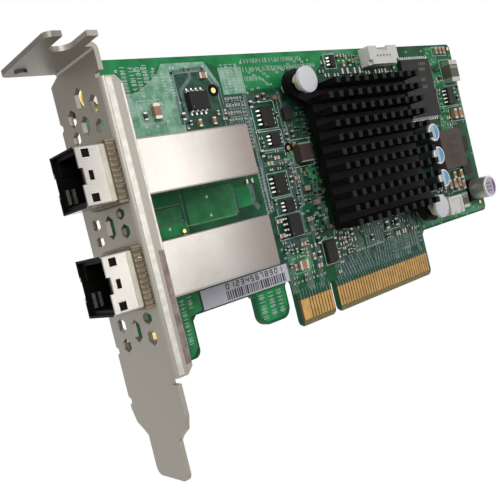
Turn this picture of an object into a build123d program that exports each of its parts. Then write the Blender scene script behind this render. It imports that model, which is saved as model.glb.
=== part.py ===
from build123d import *
import math
import os

# Low-profile expansion card with two external high-density ports.
# Millimetres. Origin: middle of the key notch of the edge connector, on the
# board's mid plane, at the lower edge of the gold fingers. +Z runs up the card,
# +X runs away from the bracket, and the component side faces -Y.

# Circuit board
BOARD_T = 1.57            # finished board thickness
BOARD_GAP = 0.65          # board's edge behind the bracket plate
BOARD_RIGHT = 74.4        # free rear edge
BOARD_TOP = 64.3
BOARD_LOWER = 12.3        # lower edge right of the edge connector
BOARD_LOWER_LEFT = 11.0   # and left of it
BOARD_CORNER = 1.6
LEG_W = 14.0              # leg that runs down behind the bracket
LEG_BOTTOM = 2.6
HOOK_GAP = 3.0            # finger left of the edge connector
HOOK_W = 9.5
HOOK_BOTTOM = 3.6
HOOK_ROUND = 2.6
INNER_ROUND = 1.0

# Edge connector (x8 lane card edge)
KEY_W = 1.9               # key notch
KEY_H = 8.0
PIN_PITCH = 1.0
PIN_W = 0.7
PIN_TOP = 6.1
PIN_T = 0.06
PINS_LEFT = 11
PINS_RIGHT = 38
PIN_FIRST_RIGHT = 1.5     # first pin right of the notch centre
PIN_MARGIN = 1.1          # last pin's centre to the end of the tongue
PIN_CLEAR = 0.05          # pins end this far above the bevel
WIDE_PAD_PINS = 3         # pins joined in one wide pad
WIDE_PAD_EDGE = 0.4       # wide pad past its first pin's centre
BEVEL_H = 1.3
BEVEL_D = 0.45
TIP_CHAMFER = 0.6

# Bracket
SHEET = 0.95
PLATE_X = -58.0           # outer face of the plate
PLATE_W = 18.42
PLATE_Y = 4.4             # edge on the solder side
TAB_Z = 62.5              # underside of the screw tab
TAB_REACH = 11.1          # from the plate's outer face to the tab's outer edge
TAB_INSET = 3.3           # tab edge inside the plate edge, solder side
TAB_OVERHANG = 5.2        # tab past the plate, component side
TAB_CORNER = 1.5
TAB_RELIEF = 1.7          # gap between plate and the overhanging prong
TAB_DROP = 0.4            # plate edge starts this far under the tab
BEND_R = 0.5              # inside radius of the bends
SCREW_SLOT_W = 4.42
SCREW_SLOT_X = 6.0        # slot centre, out from the plate's outer face
SCREW_SLOT_DEEP = 7.2
TONGUE_W = 10.19
BRACKET_H = 79.2          # tongue end to top of the tab
TONGUE_L = 7.7            # straight part of the tongue
NECK_H = 5.0              # where the plate narrows, above it
TONGUE_ROUND = 1.6
TOP_CHAMFER = 1.1
NECK_CUT_Y = 1.0          # corner cut where the plate narrows
NECK_CUT_Z = 2.6
SHOULDER = 0.9            # small slope above the tongue
FLANGE_DEEP = 4.1         # stiffening flange behind the plate
FLANGE_TOP = 57.5
FLANGE_BOTTOM = 3.6
FLANGE_CHAMFER = 1.3
RELIEF_D = 1.7            # cut beside each end of the flange
RELIEF_H = 1.0
PIP_D = 2.4               # pressed pip on the tab
PIP_H = 0.45
PIP_SIDES = 8
PIP_X = 2.8               # pip's centre from the tab's outer edge
PIP_Y = 3.0               # and from the tab's solder-side edge
VENT_W = 1.45             # half width of each opening
VENT_SLOPE = 0.95         # rise of its sloped ends, at most
VENTS = [                 # y, z, height of each opening
    (-5.0, 55.9, 4.4), (-9.6, 53.8, 3.6), (-0.8, 53.4, 3.6),
    (-5.1, 51.0, 3.8), (-9.9, 49.7, 3.0), (-0.8, 49.6, 2.8),
    (0.2, 33.2, 3.0), (-4.8, 32.0, 4.6), (-9.3, 33.9, 2.2), (-9.7, 30.7, 2.8),
    (0.2, 29.9, 2.4),
    (0.1, 13.6, 3.2), (-5.0, 12.5, 4.4), (-9.7, 14.8, 2.4), (-9.9, 11.2, 3.2),
    (-0.1, 9.7, 2.8),
]
EDGE_NICKS = [52.8, 8.6, -1.4]   # z of the notches on the solder edge
NICK = 0.8                # their depth and half height
FOOT_H = 7.0
FOOT_REACH = 9.0
FOOT_Z = [57.4, 6.7]
FOOT_HOLE = 6.4           # foot hole behind the plate's outer face
FOOT_ROOT = 0.3           # foot's root inside the plate
SCREW_D = 2.5
SCREW_HEAD_D = 4.8
SCREW_HEAD_H = 1.7
SCREW_CLEAR = 0.1
SCREW_PAST = 0.8          # screw end past the foot

# External ports
PORT_Z = [41.1, 22.3]
CAGE_W = 10.45            # along Z
CAGE_FLANGE_GAP = 0.07    # cage to the bracket's flange
CAGE_OUT = 7.65           # front rim outside the plate
CAGE_LEN = 39.0
CAGE_BEND = 0.4
STEP_GAP = 0.25           # plate to the cage's full-height part
CAGE_WALL = 0.35
NOSE_T = 9.9              # cage height outside the plate, along Y
PORT_RECESS_D = 0.7       # cut in the middle of the front rim
PORT_RECESS_H = 2.9
MOULD_SET_BACK = 0.05     # moulding behind the recess
LINER = 0.75              # plastic wall inside the sheet cage
MOUTH_DEEP = 21.0         # socket depth
PADDLE_T = 1.1            # contact tongue in the socket
PADDLE_LEN = 8.0
PADDLE_PINS = 3
PADDLE_OFF = 1.75         # each tongue from the socket's middle
PADDLE_SIDE = 0.9         # tongue's edge to the socket's wall
PADDLE_ROOT = 0.5
PORT_CONTACT_T = 0.12
PORT_CONTACT_W = 0.44
PORT_CONTACT_EDGE = 0.3   # outer contact to the tongue's edge
PORT_CONTACT_IN = 0.5     # contact behind the tongue's tip
POLAR_LEN = 9.0           # rib that keys the plug
POLAR_T = 0.45
POLAR_SIDE = 1.6          # rib's start, from the socket's middle
POLAR_ROOT = 0.1
WINDOW = 1.45             # side of the square windows
WINDOW_IN = 1.75          # their centre behind the rim
WINDOW_SIDE = 1.4         # and inside the cage's edge
WINDOW_MID_IN = 1.95
WINDOW_MID_W = 0.9
WINDOW_MID_H = 1.67
FINGER_IN = [1.0, 2.2]    # grounding fingers, behind the rim
FINGER_W = 0.5
FINGER_T = 0.3
FINGER_FROM = 0.9         # along Z from the socket's middle
FINGER_TO = 3.6
GASKET_T = 0.35
GASKET_LEN = 1.9
GASKET_SLOTS = 3
GASKET_RIM = 0.8          # closed rim before the slots
GASKET_SLOT_W = 0.5
PLATE_GAP = 0.45          # cage to the edge of its cut-out

# Heat sink
SINK_X = 21.1
SINK_Z = 37.2
SINK_W = 37.0
SINK_H = 35.2
SINK_BASE_T = 2.0
SINK_PIN_L = 5.7
SINK_COLS = 11
SINK_ROWS = 11
SINK_PIN = 1.5
SINK_PIN_OFF = 1.6        # pins this near a push pin's head are left out
EAR_R = 3.5
EAR_OUT = [3.0, 0.6]      # ear hole past the sink's corner along X: left, right
EAR_UP = [0.6, 1.5]       # and along Z
EAR_ROOT = 2.5            # ear's root inside the sink's corner
CHIP_PKG = 27.0
CHIP_PKG_T = 1.1
CHIP_DIE = 21.0
CHIP_DIE_T = 0.9
PAD_T = 0.4
PAD_INSET = 0.5           # pad's edge inside the die's
PUSH_HEAD_D = 6.2
PUSH_HEAD_T = 0.8
PUSH_STEM_D = 2.6
PUSH_HOLE_CLEAR = 0.15
PUSH_PAST = 2.3           # stem past the board
SPRING_OD = 4.4
SPRING_ID = 3.2
SPRING_L = 2.4
SPRING_SIDES = 12         # the coil's outline as a ring of flats

# Worked out from the values above
FACE = -BOARD_T / 2       # component side
BACK = BOARD_T / 2        # solder side
PIN_FIRST_LEFT = -PIN_FIRST_RIGHT - PIN_PITCH * (PINS_LEFT - 1)
CONN_LEFT = PIN_FIRST_LEFT - PIN_MARGIN
CONN_RIGHT = PIN_FIRST_RIGHT + PIN_PITCH * (PINS_RIGHT - 1) + PIN_MARGIN
HOOK_RIGHT = CONN_LEFT - HOOK_GAP
HOOK_LEFT = HOOK_RIGHT - HOOK_W
PLATE_LOW_Y = PLATE_Y - PLATE_W            # plate's edge on the component side
PLATE_MID_Y = PLATE_Y - PLATE_W / 2
PLATE_IN = PLATE_X + SHEET                 # plate's inner face
TONGUE_Z = TAB_Z + SHEET - BRACKET_H
NECK_END = TONGUE_Z + TONGUE_L
NECK_TOP = NECK_END + NECK_H               # where the plate starts to narrow
FOOT_HOLE_X = PLATE_X + FOOT_HOLE
BOARD_LEFT = PLATE_IN + BOARD_GAP
LEG_RIGHT = BOARD_LEFT + LEG_W
CAGE_TOP = PLATE_LOW_Y + SHEET + CAGE_FLANGE_GAP   # component-side face, as Y
CAGE_FRONT = PLATE_X - CAGE_OUT
CAGE_BACK = CAGE_FRONT + CAGE_LEN
NOSE_BOTTOM = CAGE_TOP + NOSE_T            # board-side face outside the plate, as Y
STEP_X = PLATE_IN + STEP_GAP               # where the cage reaches down to the board

os.makedirs("parts", exist_ok=True)


def block(x0, x1, y0, y1, z0, z1):
    return Pos((x0 + x1) / 2, (y0 + y1) / 2, (z0 + z1) / 2) * Box(
        abs(x1 - x0), abs(y1 - y0), abs(z1 - z0))


def on_board(x, z, w, h, tall, lift=0.0):
    """Block on the component side, centred at x, z."""
    return block(x - w / 2, x + w / 2, FACE - lift - tall, FACE - lift,
                 z - h / 2, z + h / 2)


def rod(x, z, r, y0, y1):
    """Round bar along Y."""
    return Pos(x, (y0 + y1) / 2, z) * Rot(90, 0, 0) * Cylinder(r, abs(y1 - y0))


def flat(points, y0, y1):
    """Profile in XZ, extruded from y0 to y1."""
    wire = Polyline(*[(x, z) for x, z in points], close=True)
    face = make_face(Plane.XZ * wire)
    return Pos(0, y1, 0) * extrude(face, amount=abs(y1 - y0), dir=(0, -1, 0))


def group(solids):
    return Compound(children=list(solids))


def vertical_edges(shape, x, z, tol=0.05):
    """Edges along Y at x, z."""
    return [e for e in shape.edges().filter_by(Axis.Y)
            if abs(e.center().X - x) < tol and abs(e.center().Z - z) < tol]


def save(name, shape):
    export_step(shape, f"parts/{name}.step")


# Board
EAR_HOLES = [(SINK_X - SINK_W / 2 - EAR_OUT[0], SINK_Z + SINK_H / 2 + EAR_UP[0]),
             (SINK_X + SINK_W / 2 + EAR_OUT[1], SINK_Z - SINK_H / 2 - EAR_UP[1])]


def make_board():
    outline = [
        (BOARD_LEFT, BOARD_TOP), (BOARD_RIGHT, BOARD_TOP),
        (BOARD_RIGHT, BOARD_LOWER), (CONN_RIGHT, BOARD_LOWER),
        (CONN_RIGHT, 0), (KEY_W / 2, 0), (KEY_W / 2, KEY_H - KEY_W / 2),
        (-KEY_W / 2, KEY_H - KEY_W / 2), (-KEY_W / 2, 0), (CONN_LEFT, 0),
        (CONN_LEFT, BOARD_LOWER_LEFT - INNER_ROUND),
        (HOOK_RIGHT, BOARD_LOWER_LEFT - INNER_ROUND),
        (HOOK_RIGHT, HOOK_BOTTOM), (HOOK_LEFT, HOOK_BOTTOM), (HOOK_LEFT, BOARD_LOWER_LEFT),
        (LEG_RIGHT, BOARD_LOWER_LEFT), (LEG_RIGHT, LEG_BOTTOM), (BOARD_LEFT, LEG_BOTTOM),
    ]
    board = flat(outline, FACE, BACK)
    board -= rod(0, KEY_H - KEY_W / 2, KEY_W / 2, FACE - 1, BACK + 1)
    slot_w = CONN_LEFT - HOOK_RIGHT
    board -= rod((CONN_LEFT + HOOK_RIGHT) / 2, BOARD_LOWER_LEFT - INNER_ROUND, slot_w / 2,
                 FACE - 1, BACK + 1)
    for x, z, r in ((BOARD_RIGHT, BOARD_TOP, BOARD_CORNER),
                    (BOARD_RIGHT, BOARD_LOWER, BOARD_CORNER),
                    (HOOK_RIGHT, HOOK_BOTTOM, HOOK_ROUND),
                    (HOOK_LEFT, HOOK_BOTTOM, HOOK_ROUND),
                    (LEG_RIGHT, LEG_BOTTOM, BOARD_CORNER)):
        board = fillet(vertical_edges(board, x, z), r)
    for x, z in ((HOOK_LEFT, BOARD_LOWER_LEFT), (LEG_RIGHT, BOARD_LOWER_LEFT),
                 (CONN_RIGHT, BOARD_LOWER)):
        board = chamfer(vertical_edges(board, x, z), INNER_ROUND)
    for x, z in ((CONN_LEFT, 0), (-KEY_W / 2, 0), (KEY_W / 2, 0), (CONN_RIGHT, 0)):
        board = chamfer(vertical_edges(board, x, z), TIP_CHAMFER)
    for side in (-1, 1):
        wedge = make_face(Plane.YZ * Polyline(
            (side * BOARD_T / 2, BEVEL_H), (side * (BOARD_T / 2 - BEVEL_D), 0),
            (side * (BOARD_T / 2 - BEVEL_D), -1), (side * (BOARD_T / 2 + 1), -1),
            (side * (BOARD_T / 2 + 1), BEVEL_H), close=True))
        board -= Pos(CONN_LEFT - 1, 0, 0) * extrude(
            wedge, amount=CONN_RIGHT - CONN_LEFT + 2, dir=(1, 0, 0))
    for z in FOOT_Z:
        board -= rod(FOOT_HOLE_X, z, SCREW_D / 2 + SCREW_CLEAR, FACE - 1, BACK + 1)
    for x, z in EAR_HOLES:
        board -= rod(x, z, PUSH_STEM_D / 2 + PUSH_HOLE_CLEAR, FACE - 1, BACK + 1)
    return board


def make_contacts():
    """Gold pads on the component side."""
    low = BEVEL_H + PIN_CLEAR
    xs = [PIN_FIRST_LEFT + PIN_PITCH * i for i in range(PINS_LEFT)]
    wide_end = xs[WIDE_PAD_PINS - 1] + PIN_W / 2
    pads = [block(PIN_FIRST_LEFT - WIDE_PAD_EDGE, wide_end, FACE - PIN_T, FACE, low, PIN_TOP)]
    xs = xs[WIDE_PAD_PINS:] + [PIN_FIRST_RIGHT + PIN_PITCH * i for i in range(PINS_RIGHT)]
    pads += [block(x - PIN_W / 2, x + PIN_W / 2, FACE - PIN_T, FACE, low, PIN_TOP) for x in xs]
    return group(pads)


# Bracket
def cut_x(points, x0, x1):
    """Profile in YZ, extruded from x0 to x1."""
    face = make_face(Plane.YZ * Polyline(*points, close=True))
    return Pos(x0, 0, 0) * extrude(face, amount=x1 - x0, dir=(1, 0, 0))


def vent(y, z, h):
    """Long hexagon with its points up and down."""
    w, half = VENT_W, h / 2
    k = min(VENT_SLOPE, half * 0.6)
    return cut_x([(y, z + half), (y + w, z + half - k), (y + w, z - half + k), (y, z - half),
                  (y - w, z - half + k), (y - w, z + half - k)], PLATE_X - 1, PLATE_IN + 1)


def make_bracket():
    tab_y0 = PLATE_LOW_Y - TAB_OVERHANG
    tab_y1 = PLATE_Y - TAB_INSET
    top = TAB_Z + SHEET
    ro, ri = BEND_R + SHEET, BEND_R
    # side profile of plate, bend and tab, in XZ
    body = flat([(PLATE_X - TAB_REACH, TAB_Z), (PLATE_X, TAB_Z), (PLATE_X, TONGUE_Z),
                 (PLATE_IN, TONGUE_Z), (PLATE_IN, top), (PLATE_X - TAB_REACH, top)],
                tab_y0, PLATE_Y)
    body = fillet(vertical_edges(body, PLATE_IN, top), ro)
    body = fillet(vertical_edges(body, PLATE_X, TAB_Z), ri)
    # plate outline, looking along X
    half = TONGUE_W / 2
    keep = cut_x([
        (PLATE_Y - TAB_INSET, top + 1), (PLATE_Y - TAB_INSET, TAB_Z - TAB_DROP),
        (PLATE_Y, TAB_Z - TAB_DROP - TOP_CHAMFER), (PLATE_Y, NECK_TOP),
        (PLATE_Y - NECK_CUT_Y, NECK_TOP - NECK_CUT_Z),
        (PLATE_MID_Y + half + SHOULDER, NECK_END + SHOULDER),
        (PLATE_MID_Y + half, NECK_END), (PLATE_MID_Y + half, TONGUE_Z),
        (PLATE_MID_Y - half, TONGUE_Z), (PLATE_MID_Y - half, NECK_END),
        (PLATE_MID_Y - half - SHOULDER, NECK_END + SHOULDER),
        (PLATE_LOW_Y + NECK_CUT_Y, NECK_TOP - NECK_CUT_Z),
        (PLATE_LOW_Y, NECK_TOP), (PLATE_LOW_Y, top + 1),
    ], PLATE_X - 0.001, PLATE_IN + 1)
    plate = body & keep
    tab = body & block(PLATE_X - TAB_REACH - 1, PLATE_X, tab_y0, tab_y1,
                       TAB_Z - ri, top + 1)
    # the prong past the plate stands clear of the bend
    tab -= block(PLATE_X - TAB_RELIEF, PLATE_X + 1, tab_y0 - 1, PLATE_LOW_Y,
                 TAB_Z - 1, top + 1)
    tab -= block(PLATE_X - ri, PLATE_X + 1, tab_y0 - 1, PLATE_LOW_Y, TAB_Z - ri - 1, TAB_Z)
    slot_x = PLATE_X - SCREW_SLOT_X
    slot_end = tab_y0 + SCREW_SLOT_DEEP - SCREW_SLOT_W / 2
    tab -= block(slot_x - SCREW_SLOT_W / 2, slot_x + SCREW_SLOT_W / 2, tab_y0 - 1,
                 slot_end, TAB_Z - 1, top + 1)
    tab -= Pos(slot_x, slot_end, TAB_Z + SHEET / 2) * Cylinder(SCREW_SLOT_W / 2, 2 * SHEET)
    out_x = PLATE_X - TAB_REACH
    corners = [e for e in tab.edges().filter_by(Axis.Z)
               if abs(e.center().X - out_x) < 0.05 and e.length > SHEET * 0.9]
    tab = fillet(corners, TAB_CORNER)
    bracket = plate + tab
    # flange bent back along the component side, with a relief at each end
    for z in (FLANGE_TOP + RELIEF_H / 2, FLANGE_BOTTOM - RELIEF_H / 2):
        bracket -= block(PLATE_X - 1, PLATE_IN + 1, PLATE_LOW_Y - 1,
                         PLATE_LOW_Y + RELIEF_D, z - RELIEF_H / 2, z + RELIEF_H / 2)
    far = PLATE_X + FLANGE_DEEP
    bracket += flat([(PLATE_X, FLANGE_BOTTOM), (far - FLANGE_CHAMFER, FLANGE_BOTTOM),
                     (far, FLANGE_BOTTOM + FLANGE_CHAMFER), (far, FLANGE_TOP - FLANGE_CHAMFER),
                     (far - FLANGE_CHAMFER, FLANGE_TOP), (PLATE_X, FLANGE_TOP)],
                    PLATE_LOW_Y, PLATE_LOW_Y + SHEET)
    rim = [e for e in bracket.edges().filter_by(Axis.Z)
           if abs(e.center().X - PLATE_X) < 0.05 and abs(e.center().Y - PLATE_LOW_Y) < 0.05
           and FLANGE_BOTTOM < e.center().Z < FLANGE_TOP]
    bracket = fillet(rim, ro * 0.8)
    # vents, cage cut-outs and small nicks
    for y, z, h in VENTS:
        bracket -= vent(y, z, h)
    side = CAGE_W / 2 + PLATE_GAP
    for z in PORT_Z:
        bracket -= block(PLATE_X - 1, PLATE_IN + 1, PLATE_LOW_Y + SHEET,
                         NOSE_BOTTOM + PLATE_GAP, z - side, z + side)
    for z in EDGE_NICKS:
        bracket -= cut_x([(PLATE_Y + 1, z - NICK), (PLATE_Y, z - NICK), (PLATE_Y - NICK, z - NICK / 2),
                          (PLATE_Y - NICK, z + NICK / 2), (PLATE_Y, z + NICK), (PLATE_Y + 1, z + NICK)],
                         PLATE_X - 1, PLATE_IN + 1)
    tips = [e for e in bracket.edges().filter_by(Axis.X)
            if abs(e.center().Z - TONGUE_Z) < 0.05]
    bracket = fillet(tips, TONGUE_ROUND)
    # feet that the board is screwed to, on the solder side
    for z in FOOT_Z:
        foot = block(PLATE_IN - FOOT_ROOT, PLATE_X + FOOT_REACH, BACK, BACK + SHEET,
                     z - FOOT_H / 2, z + FOOT_H / 2)
        foot -= rod(FOOT_HOLE_X, z, SCREW_D / 2, BACK - 1, BACK + 3)
        bracket += foot
    # pressed pip on the underside of the tab
    pip = Plane.XY.offset(TAB_Z) * Pos(PLATE_X - TAB_REACH + PIP_X, tab_y1 - PIP_Y) * RegularPolygon(
        PIP_D / 2, PIP_SIDES)
    return bracket + extrude(pip, amount=PIP_H, dir=(0, 0, -1))


def make_screws():
    out = []
    for z in FOOT_Z:
        head = rod(FOOT_HOLE_X, z, SCREW_HEAD_D / 2, FACE - SCREW_HEAD_H, FACE)
        out.append(head + rod(FOOT_HOLE_X, z, SCREW_D / 2, FACE, BACK + SHEET + SCREW_PAST))
    return group(out)


# Ports
def make_cage(z):
    half = CAGE_W / 2
    t = CAGE_WALL
    outer = block(CAGE_FRONT, CAGE_BACK, CAGE_TOP, NOSE_BOTTOM, z - half, z + half)
    outer += block(STEP_X, CAGE_BACK, CAGE_TOP, FACE, z - half, z + half)
    tall = [e for e in outer.edges().filter_by(Axis.X)
            if abs(e.center().Y - CAGE_TOP) < 0.05]
    outer = fillet(tall, CAGE_BEND)
    inner = block(CAGE_FRONT - 1, CAGE_BACK - t, CAGE_TOP + t, NOSE_BOTTOM - t,
                  z - half + t, z + half - t)
    inner += block(STEP_X + t, CAGE_BACK - t, CAGE_TOP + t, FACE + 1,
                   z - half + t, z + half - t)
    cage = outer - inner
    # recess in the middle of the rim, on both broad walls
    cage -= block(CAGE_FRONT - 1, CAGE_FRONT + PORT_RECESS_D, CAGE_TOP - 1, NOSE_BOTTOM + 1,
                  z - PORT_RECESS_H / 2, z + PORT_RECESS_H / 2)
    # windows in the component-side wall
    for dz in (half - WINDOW_SIDE, -half + WINDOW_SIDE):
        cage -= Pos(CAGE_FRONT + WINDOW_IN, CAGE_TOP, z + dz) * Box(WINDOW, 2.5 * t, WINDOW)
    cage -= Pos(CAGE_FRONT + WINDOW_MID_IN, CAGE_TOP, z) * Box(WINDOW_MID_W, 2.5 * t, WINDOW_MID_H)
    return cage


def make_receptacle(z):
    half = CAGE_W / 2 - CAGE_WALL
    y0 = CAGE_TOP + CAGE_WALL
    step_x = STEP_X + CAGE_WALL
    rear = CAGE_BACK - CAGE_WALL
    front = CAGE_FRONT + PORT_RECESS_D + MOULD_SET_BACK
    shell = block(front, rear, y0, NOSE_BOTTOM - CAGE_WALL, z - half, z + half)
    shell += block(step_x, rear, y0, FACE, z - half, z + half)
    mouth = block(front - 1, CAGE_FRONT + MOUTH_DEEP, y0 + LINER,
                  NOSE_BOTTOM - CAGE_WALL - LINER, z - half + LINER, z + half - LINER)
    shell -= mouth
    # two contact tongues reach forward from the back of the socket
    mid = (y0 + NOSE_BOTTOM - CAGE_WALL) / 2
    side = half - LINER - PADDLE_SIDE
    for dy in (-PADDLE_OFF, PADDLE_OFF):
        shell += block(CAGE_FRONT + MOUTH_DEEP - PADDLE_LEN, CAGE_FRONT + MOUTH_DEEP + PADDLE_ROOT,
                       mid + dy - PADDLE_T / 2, mid + dy + PADDLE_T / 2, z - side, z + side)
    # keying step along the board-side wall
    wall = NOSE_BOTTOM - CAGE_WALL - LINER
    shell += block(front, CAGE_FRONT + POLAR_LEN, wall - POLAR_T, wall + POLAR_ROOT,
                   z + POLAR_SIDE, z + half - LINER + POLAR_ROOT)
    return shell


def make_port_contacts():
    out = []
    y0, y1 = CAGE_TOP + CAGE_WALL, NOSE_BOTTOM - CAGE_WALL
    mid = (y0 + y1) / 2
    side = CAGE_W / 2 - CAGE_WALL - LINER - PADDLE_SIDE - PORT_CONTACT_EDGE
    pitch = 2 * side / (PADDLE_PINS - 1)
    tip = CAGE_FRONT + MOUTH_DEEP - PADDLE_LEN
    for z in PORT_Z:
        for dy in (-PADDLE_OFF, PADDLE_OFF):
            y = mid + dy + PADDLE_T / 2
            for i in range(PADDLE_PINS):
                zc = z - side + pitch * i
                out.append(block(tip + PORT_CONTACT_IN, tip + PADDLE_LEN, y, y + PORT_CONTACT_T,
                                 zc - PORT_CONTACT_W / 2, zc + PORT_CONTACT_W / 2))
    return group(out)


def make_port_springs():
    """Grounding fingers just inside each mouth, on the board-side wall."""
    out = []
    wall = NOSE_BOTTOM - CAGE_WALL - LINER
    for z in PORT_Z:
        for x in FINGER_IN:
            out.append(block(CAGE_FRONT + x, CAGE_FRONT + x + FINGER_W, wall - FINGER_T, wall,
                             z - FINGER_TO, z - FINGER_FROM))
    return group(out)


def make_gasket(z):
    """Ring of spring fingers between the plate and the cage."""
    half = CAGE_W / 2
    x1 = PLATE_X
    x0 = x1 - GASKET_LEN
    g = GASKET_T
    outer = block(x0, x1, CAGE_TOP - g, NOSE_BOTTOM + g, z - half - g, z + half + g)
    ring = outer - block(x0 - 1, x1 + 1, CAGE_TOP, NOSE_BOTTOM, z - half, z + half)
    span_z = 2 * half
    span_y = NOSE_BOTTOM - CAGE_TOP
    w = GASKET_SLOT_W / 2
    start = x0 + GASKET_RIM
    for i in range(GASKET_SLOTS):
        zc = z - half + span_z * (i + 0.5) / GASKET_SLOTS
        yc = CAGE_TOP + span_y * (i + 0.5) / GASKET_SLOTS
        ring -= block(start, x1 + 1, CAGE_TOP - g - 1, CAGE_TOP, zc - w, zc + w)
        ring -= block(start, x1 + 1, NOSE_BOTTOM, NOSE_BOTTOM + g + 1, zc - w, zc + w)
        ring -= block(start, x1 + 1, yc - w, yc + w, z + half, z + half + g + 1)
        ring -= block(start, x1 + 1, yc - w, yc + w, z - half - g - 1, z - half)
    return ring


# Controller and heat sink
CHIP_TOP = CHIP_PKG_T + CHIP_DIE_T
SINK_FOOT = FACE - CHIP_TOP - PAD_T        # underside of the sink, as Y


def make_sink():
    y1 = SINK_FOOT
    y0 = y1 - SINK_BASE_T
    hw, hh = SINK_W / 2, SINK_H / 2
    sink = block(SINK_X - hw, SINK_X + hw, y0, y1, SINK_Z - hh, SINK_Z + hh)
    for sx, (ex, ez) in zip((-1, 1), EAR_HOLES):
        cx, cz = SINK_X + sx * (hw - EAR_ROOT), SINK_Z - sx * (hh - EAR_ROOT)
        dx, dz = ex - cx, ez - cz
        n = math.hypot(dx, dz)
        px, pz = -dz / n * EAR_R, dx / n * EAR_R
        arm = flat([(cx + px, cz + pz), (ex + px, ez + pz), (ex - px, ez - pz),
                    (cx - px, cz - pz)], y0, y1)
        sink += arm
        sink += rod(ex, ez, EAR_R, y0, y1)
        sink -= rod(ex, ez, PUSH_STEM_D / 2 + PUSH_HOLE_CLEAR, y0 - 1, y1 + 1)
    step_x = (SINK_W - SINK_PIN) / (SINK_COLS - 1)
    step_z = (SINK_H - SINK_PIN) / (SINK_ROWS - 1)
    tips = []
    for i in range(SINK_COLS):
        for j in range(SINK_ROWS):
            x = SINK_X - hw + SINK_PIN / 2 + i * step_x
            z = SINK_Z - hh + SINK_PIN / 2 + j * step_z
            near = min(math.hypot(x - ex, z - ez) for ex, ez in EAR_HOLES)
            if near > PUSH_HEAD_D / 2 + SINK_PIN_OFF:
                tips.append(Pos(x, z) * Rectangle(SINK_PIN, SINK_PIN))
    pins = [Pos(0, y0, 0) * extrude(Plane.XZ * t, amount=SINK_PIN_L, dir=(0, -1, 0))
            for t in tips]
    return sink + pins


def make_chip():
    pkg = on_board(SINK_X, SINK_Z, CHIP_PKG, CHIP_PKG, CHIP_PKG_T)
    lid = on_board(SINK_X, SINK_Z, CHIP_DIE, CHIP_DIE, CHIP_DIE_T, CHIP_PKG_T)
    return pkg + lid


def make_push_pins():
    out = []
    for x, z in EAR_HOLES:
        top = SINK_FOOT - SINK_BASE_T - SPRING_L
        r = PUSH_STEM_D / 2
        half = make_face(Plane.XY * Polyline(
            (0, top - PUSH_HEAD_T), (PUSH_HEAD_D / 2, top - PUSH_HEAD_T), (PUSH_HEAD_D / 2, top),
            (r, top), (r, BACK + PUSH_PAST), (0, BACK + PUSH_PAST),
            close=True))
        out.append(Pos(x, 0, z) * revolve(half, Axis.Y))
    return group(out)


def make_push_springs():
    out = []
    for x, z in EAR_HOLES:
        y1 = SINK_FOOT - SINK_BASE_T
        ring = (Pos(x, z) * RegularPolygon(SPRING_OD / 2, SPRING_SIDES)
                - Pos(x, z) * RegularPolygon(SPRING_ID / 2, SPRING_SIDES))
        out.append(Pos(0, y1, 0) * extrude(Plane.XZ * ring, amount=SPRING_L, dir=(0, -1, 0)))
    return group(out)


# Packages
# x, z, width along X, height along Z, thickness, lead rows on "x" or "z", leads a side
SMALL_OUTLINE = [
    (-28.3, 54.4, 5.0, 3.9, 1.55, "z", 4),
    (-9.0, 23.4, 3.9, 4.9, 1.55, "x", 4),
]
LOGIC = [
    (-9.3, 49.2, 3.6, 4.6, 1.0, "x", 4),
    (-8.2, 43.8, 2.8, 2.9, 0.9, "x", 3),
    (-10.2, 33.4, 3.6, 4.4, 1.0, "x", 4),
    (-8.7, 28.1, 2.8, 2.9, 0.9, "x", 3),
    (1.2, 14.9, 3.4, 5.0, 1.2, "x", 0),
    (67.3, 48.4, 3.2, 4.9, 1.4, "x", 4),
    (68.9, 33.5, 3.6, 4.8, 1.0, "x", 0),
    (67.6, 26.7, 4.6, 4.8, 1.0, "x", 0),
    (17.8, 61.2, 1.7, 2.9, 1.0, "x", 3),
    (-2.3, 49.3, 3.0, 3.0, 0.9, "x", 0),
]
FLASH = (53.0, 51.7, 13.8, 16.8, 1.1, "z", 14)
FLASH_PITCH = 0.92
FLASH_LEAD_W = 0.4
OUTLINE_PITCH = 1.27
OUTLINE_LEAD_W = 0.42
LOGIC_LEAD_W = 0.35
LOGIC_MARGIN = 0.4        # pitches left free at the ends of a row
LEAD_OUT = 0.95
LEAD_T = 0.2
SEAT = 0.12               # body underside above the board


def package(spec):
    x, z, w, h, t = spec[:5]
    return on_board(x, z, w, h, t, SEAT)


def leads(spec, pitch, lead_w):
    """Feet of one package: flat terminals that reach out from under the body."""
    x, z, w, h, t, side, n = spec
    out = []
    for s in (-1, 1):
        for i in range(n):
            a = (i - (n - 1) / 2) * pitch
            if side == "z":
                e = z + s * h / 2
                out.append(block(x + a - lead_w / 2, x + a + lead_w / 2,
                                 FACE - LEAD_T, FACE, e, e + s * LEAD_OUT))
            else:
                e = x + s * w / 2
                out.append(block(e, e + s * LEAD_OUT, FACE - LEAD_T, FACE,
                                 z + a - lead_w / 2, z + a + lead_w / 2))
    return out


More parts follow.
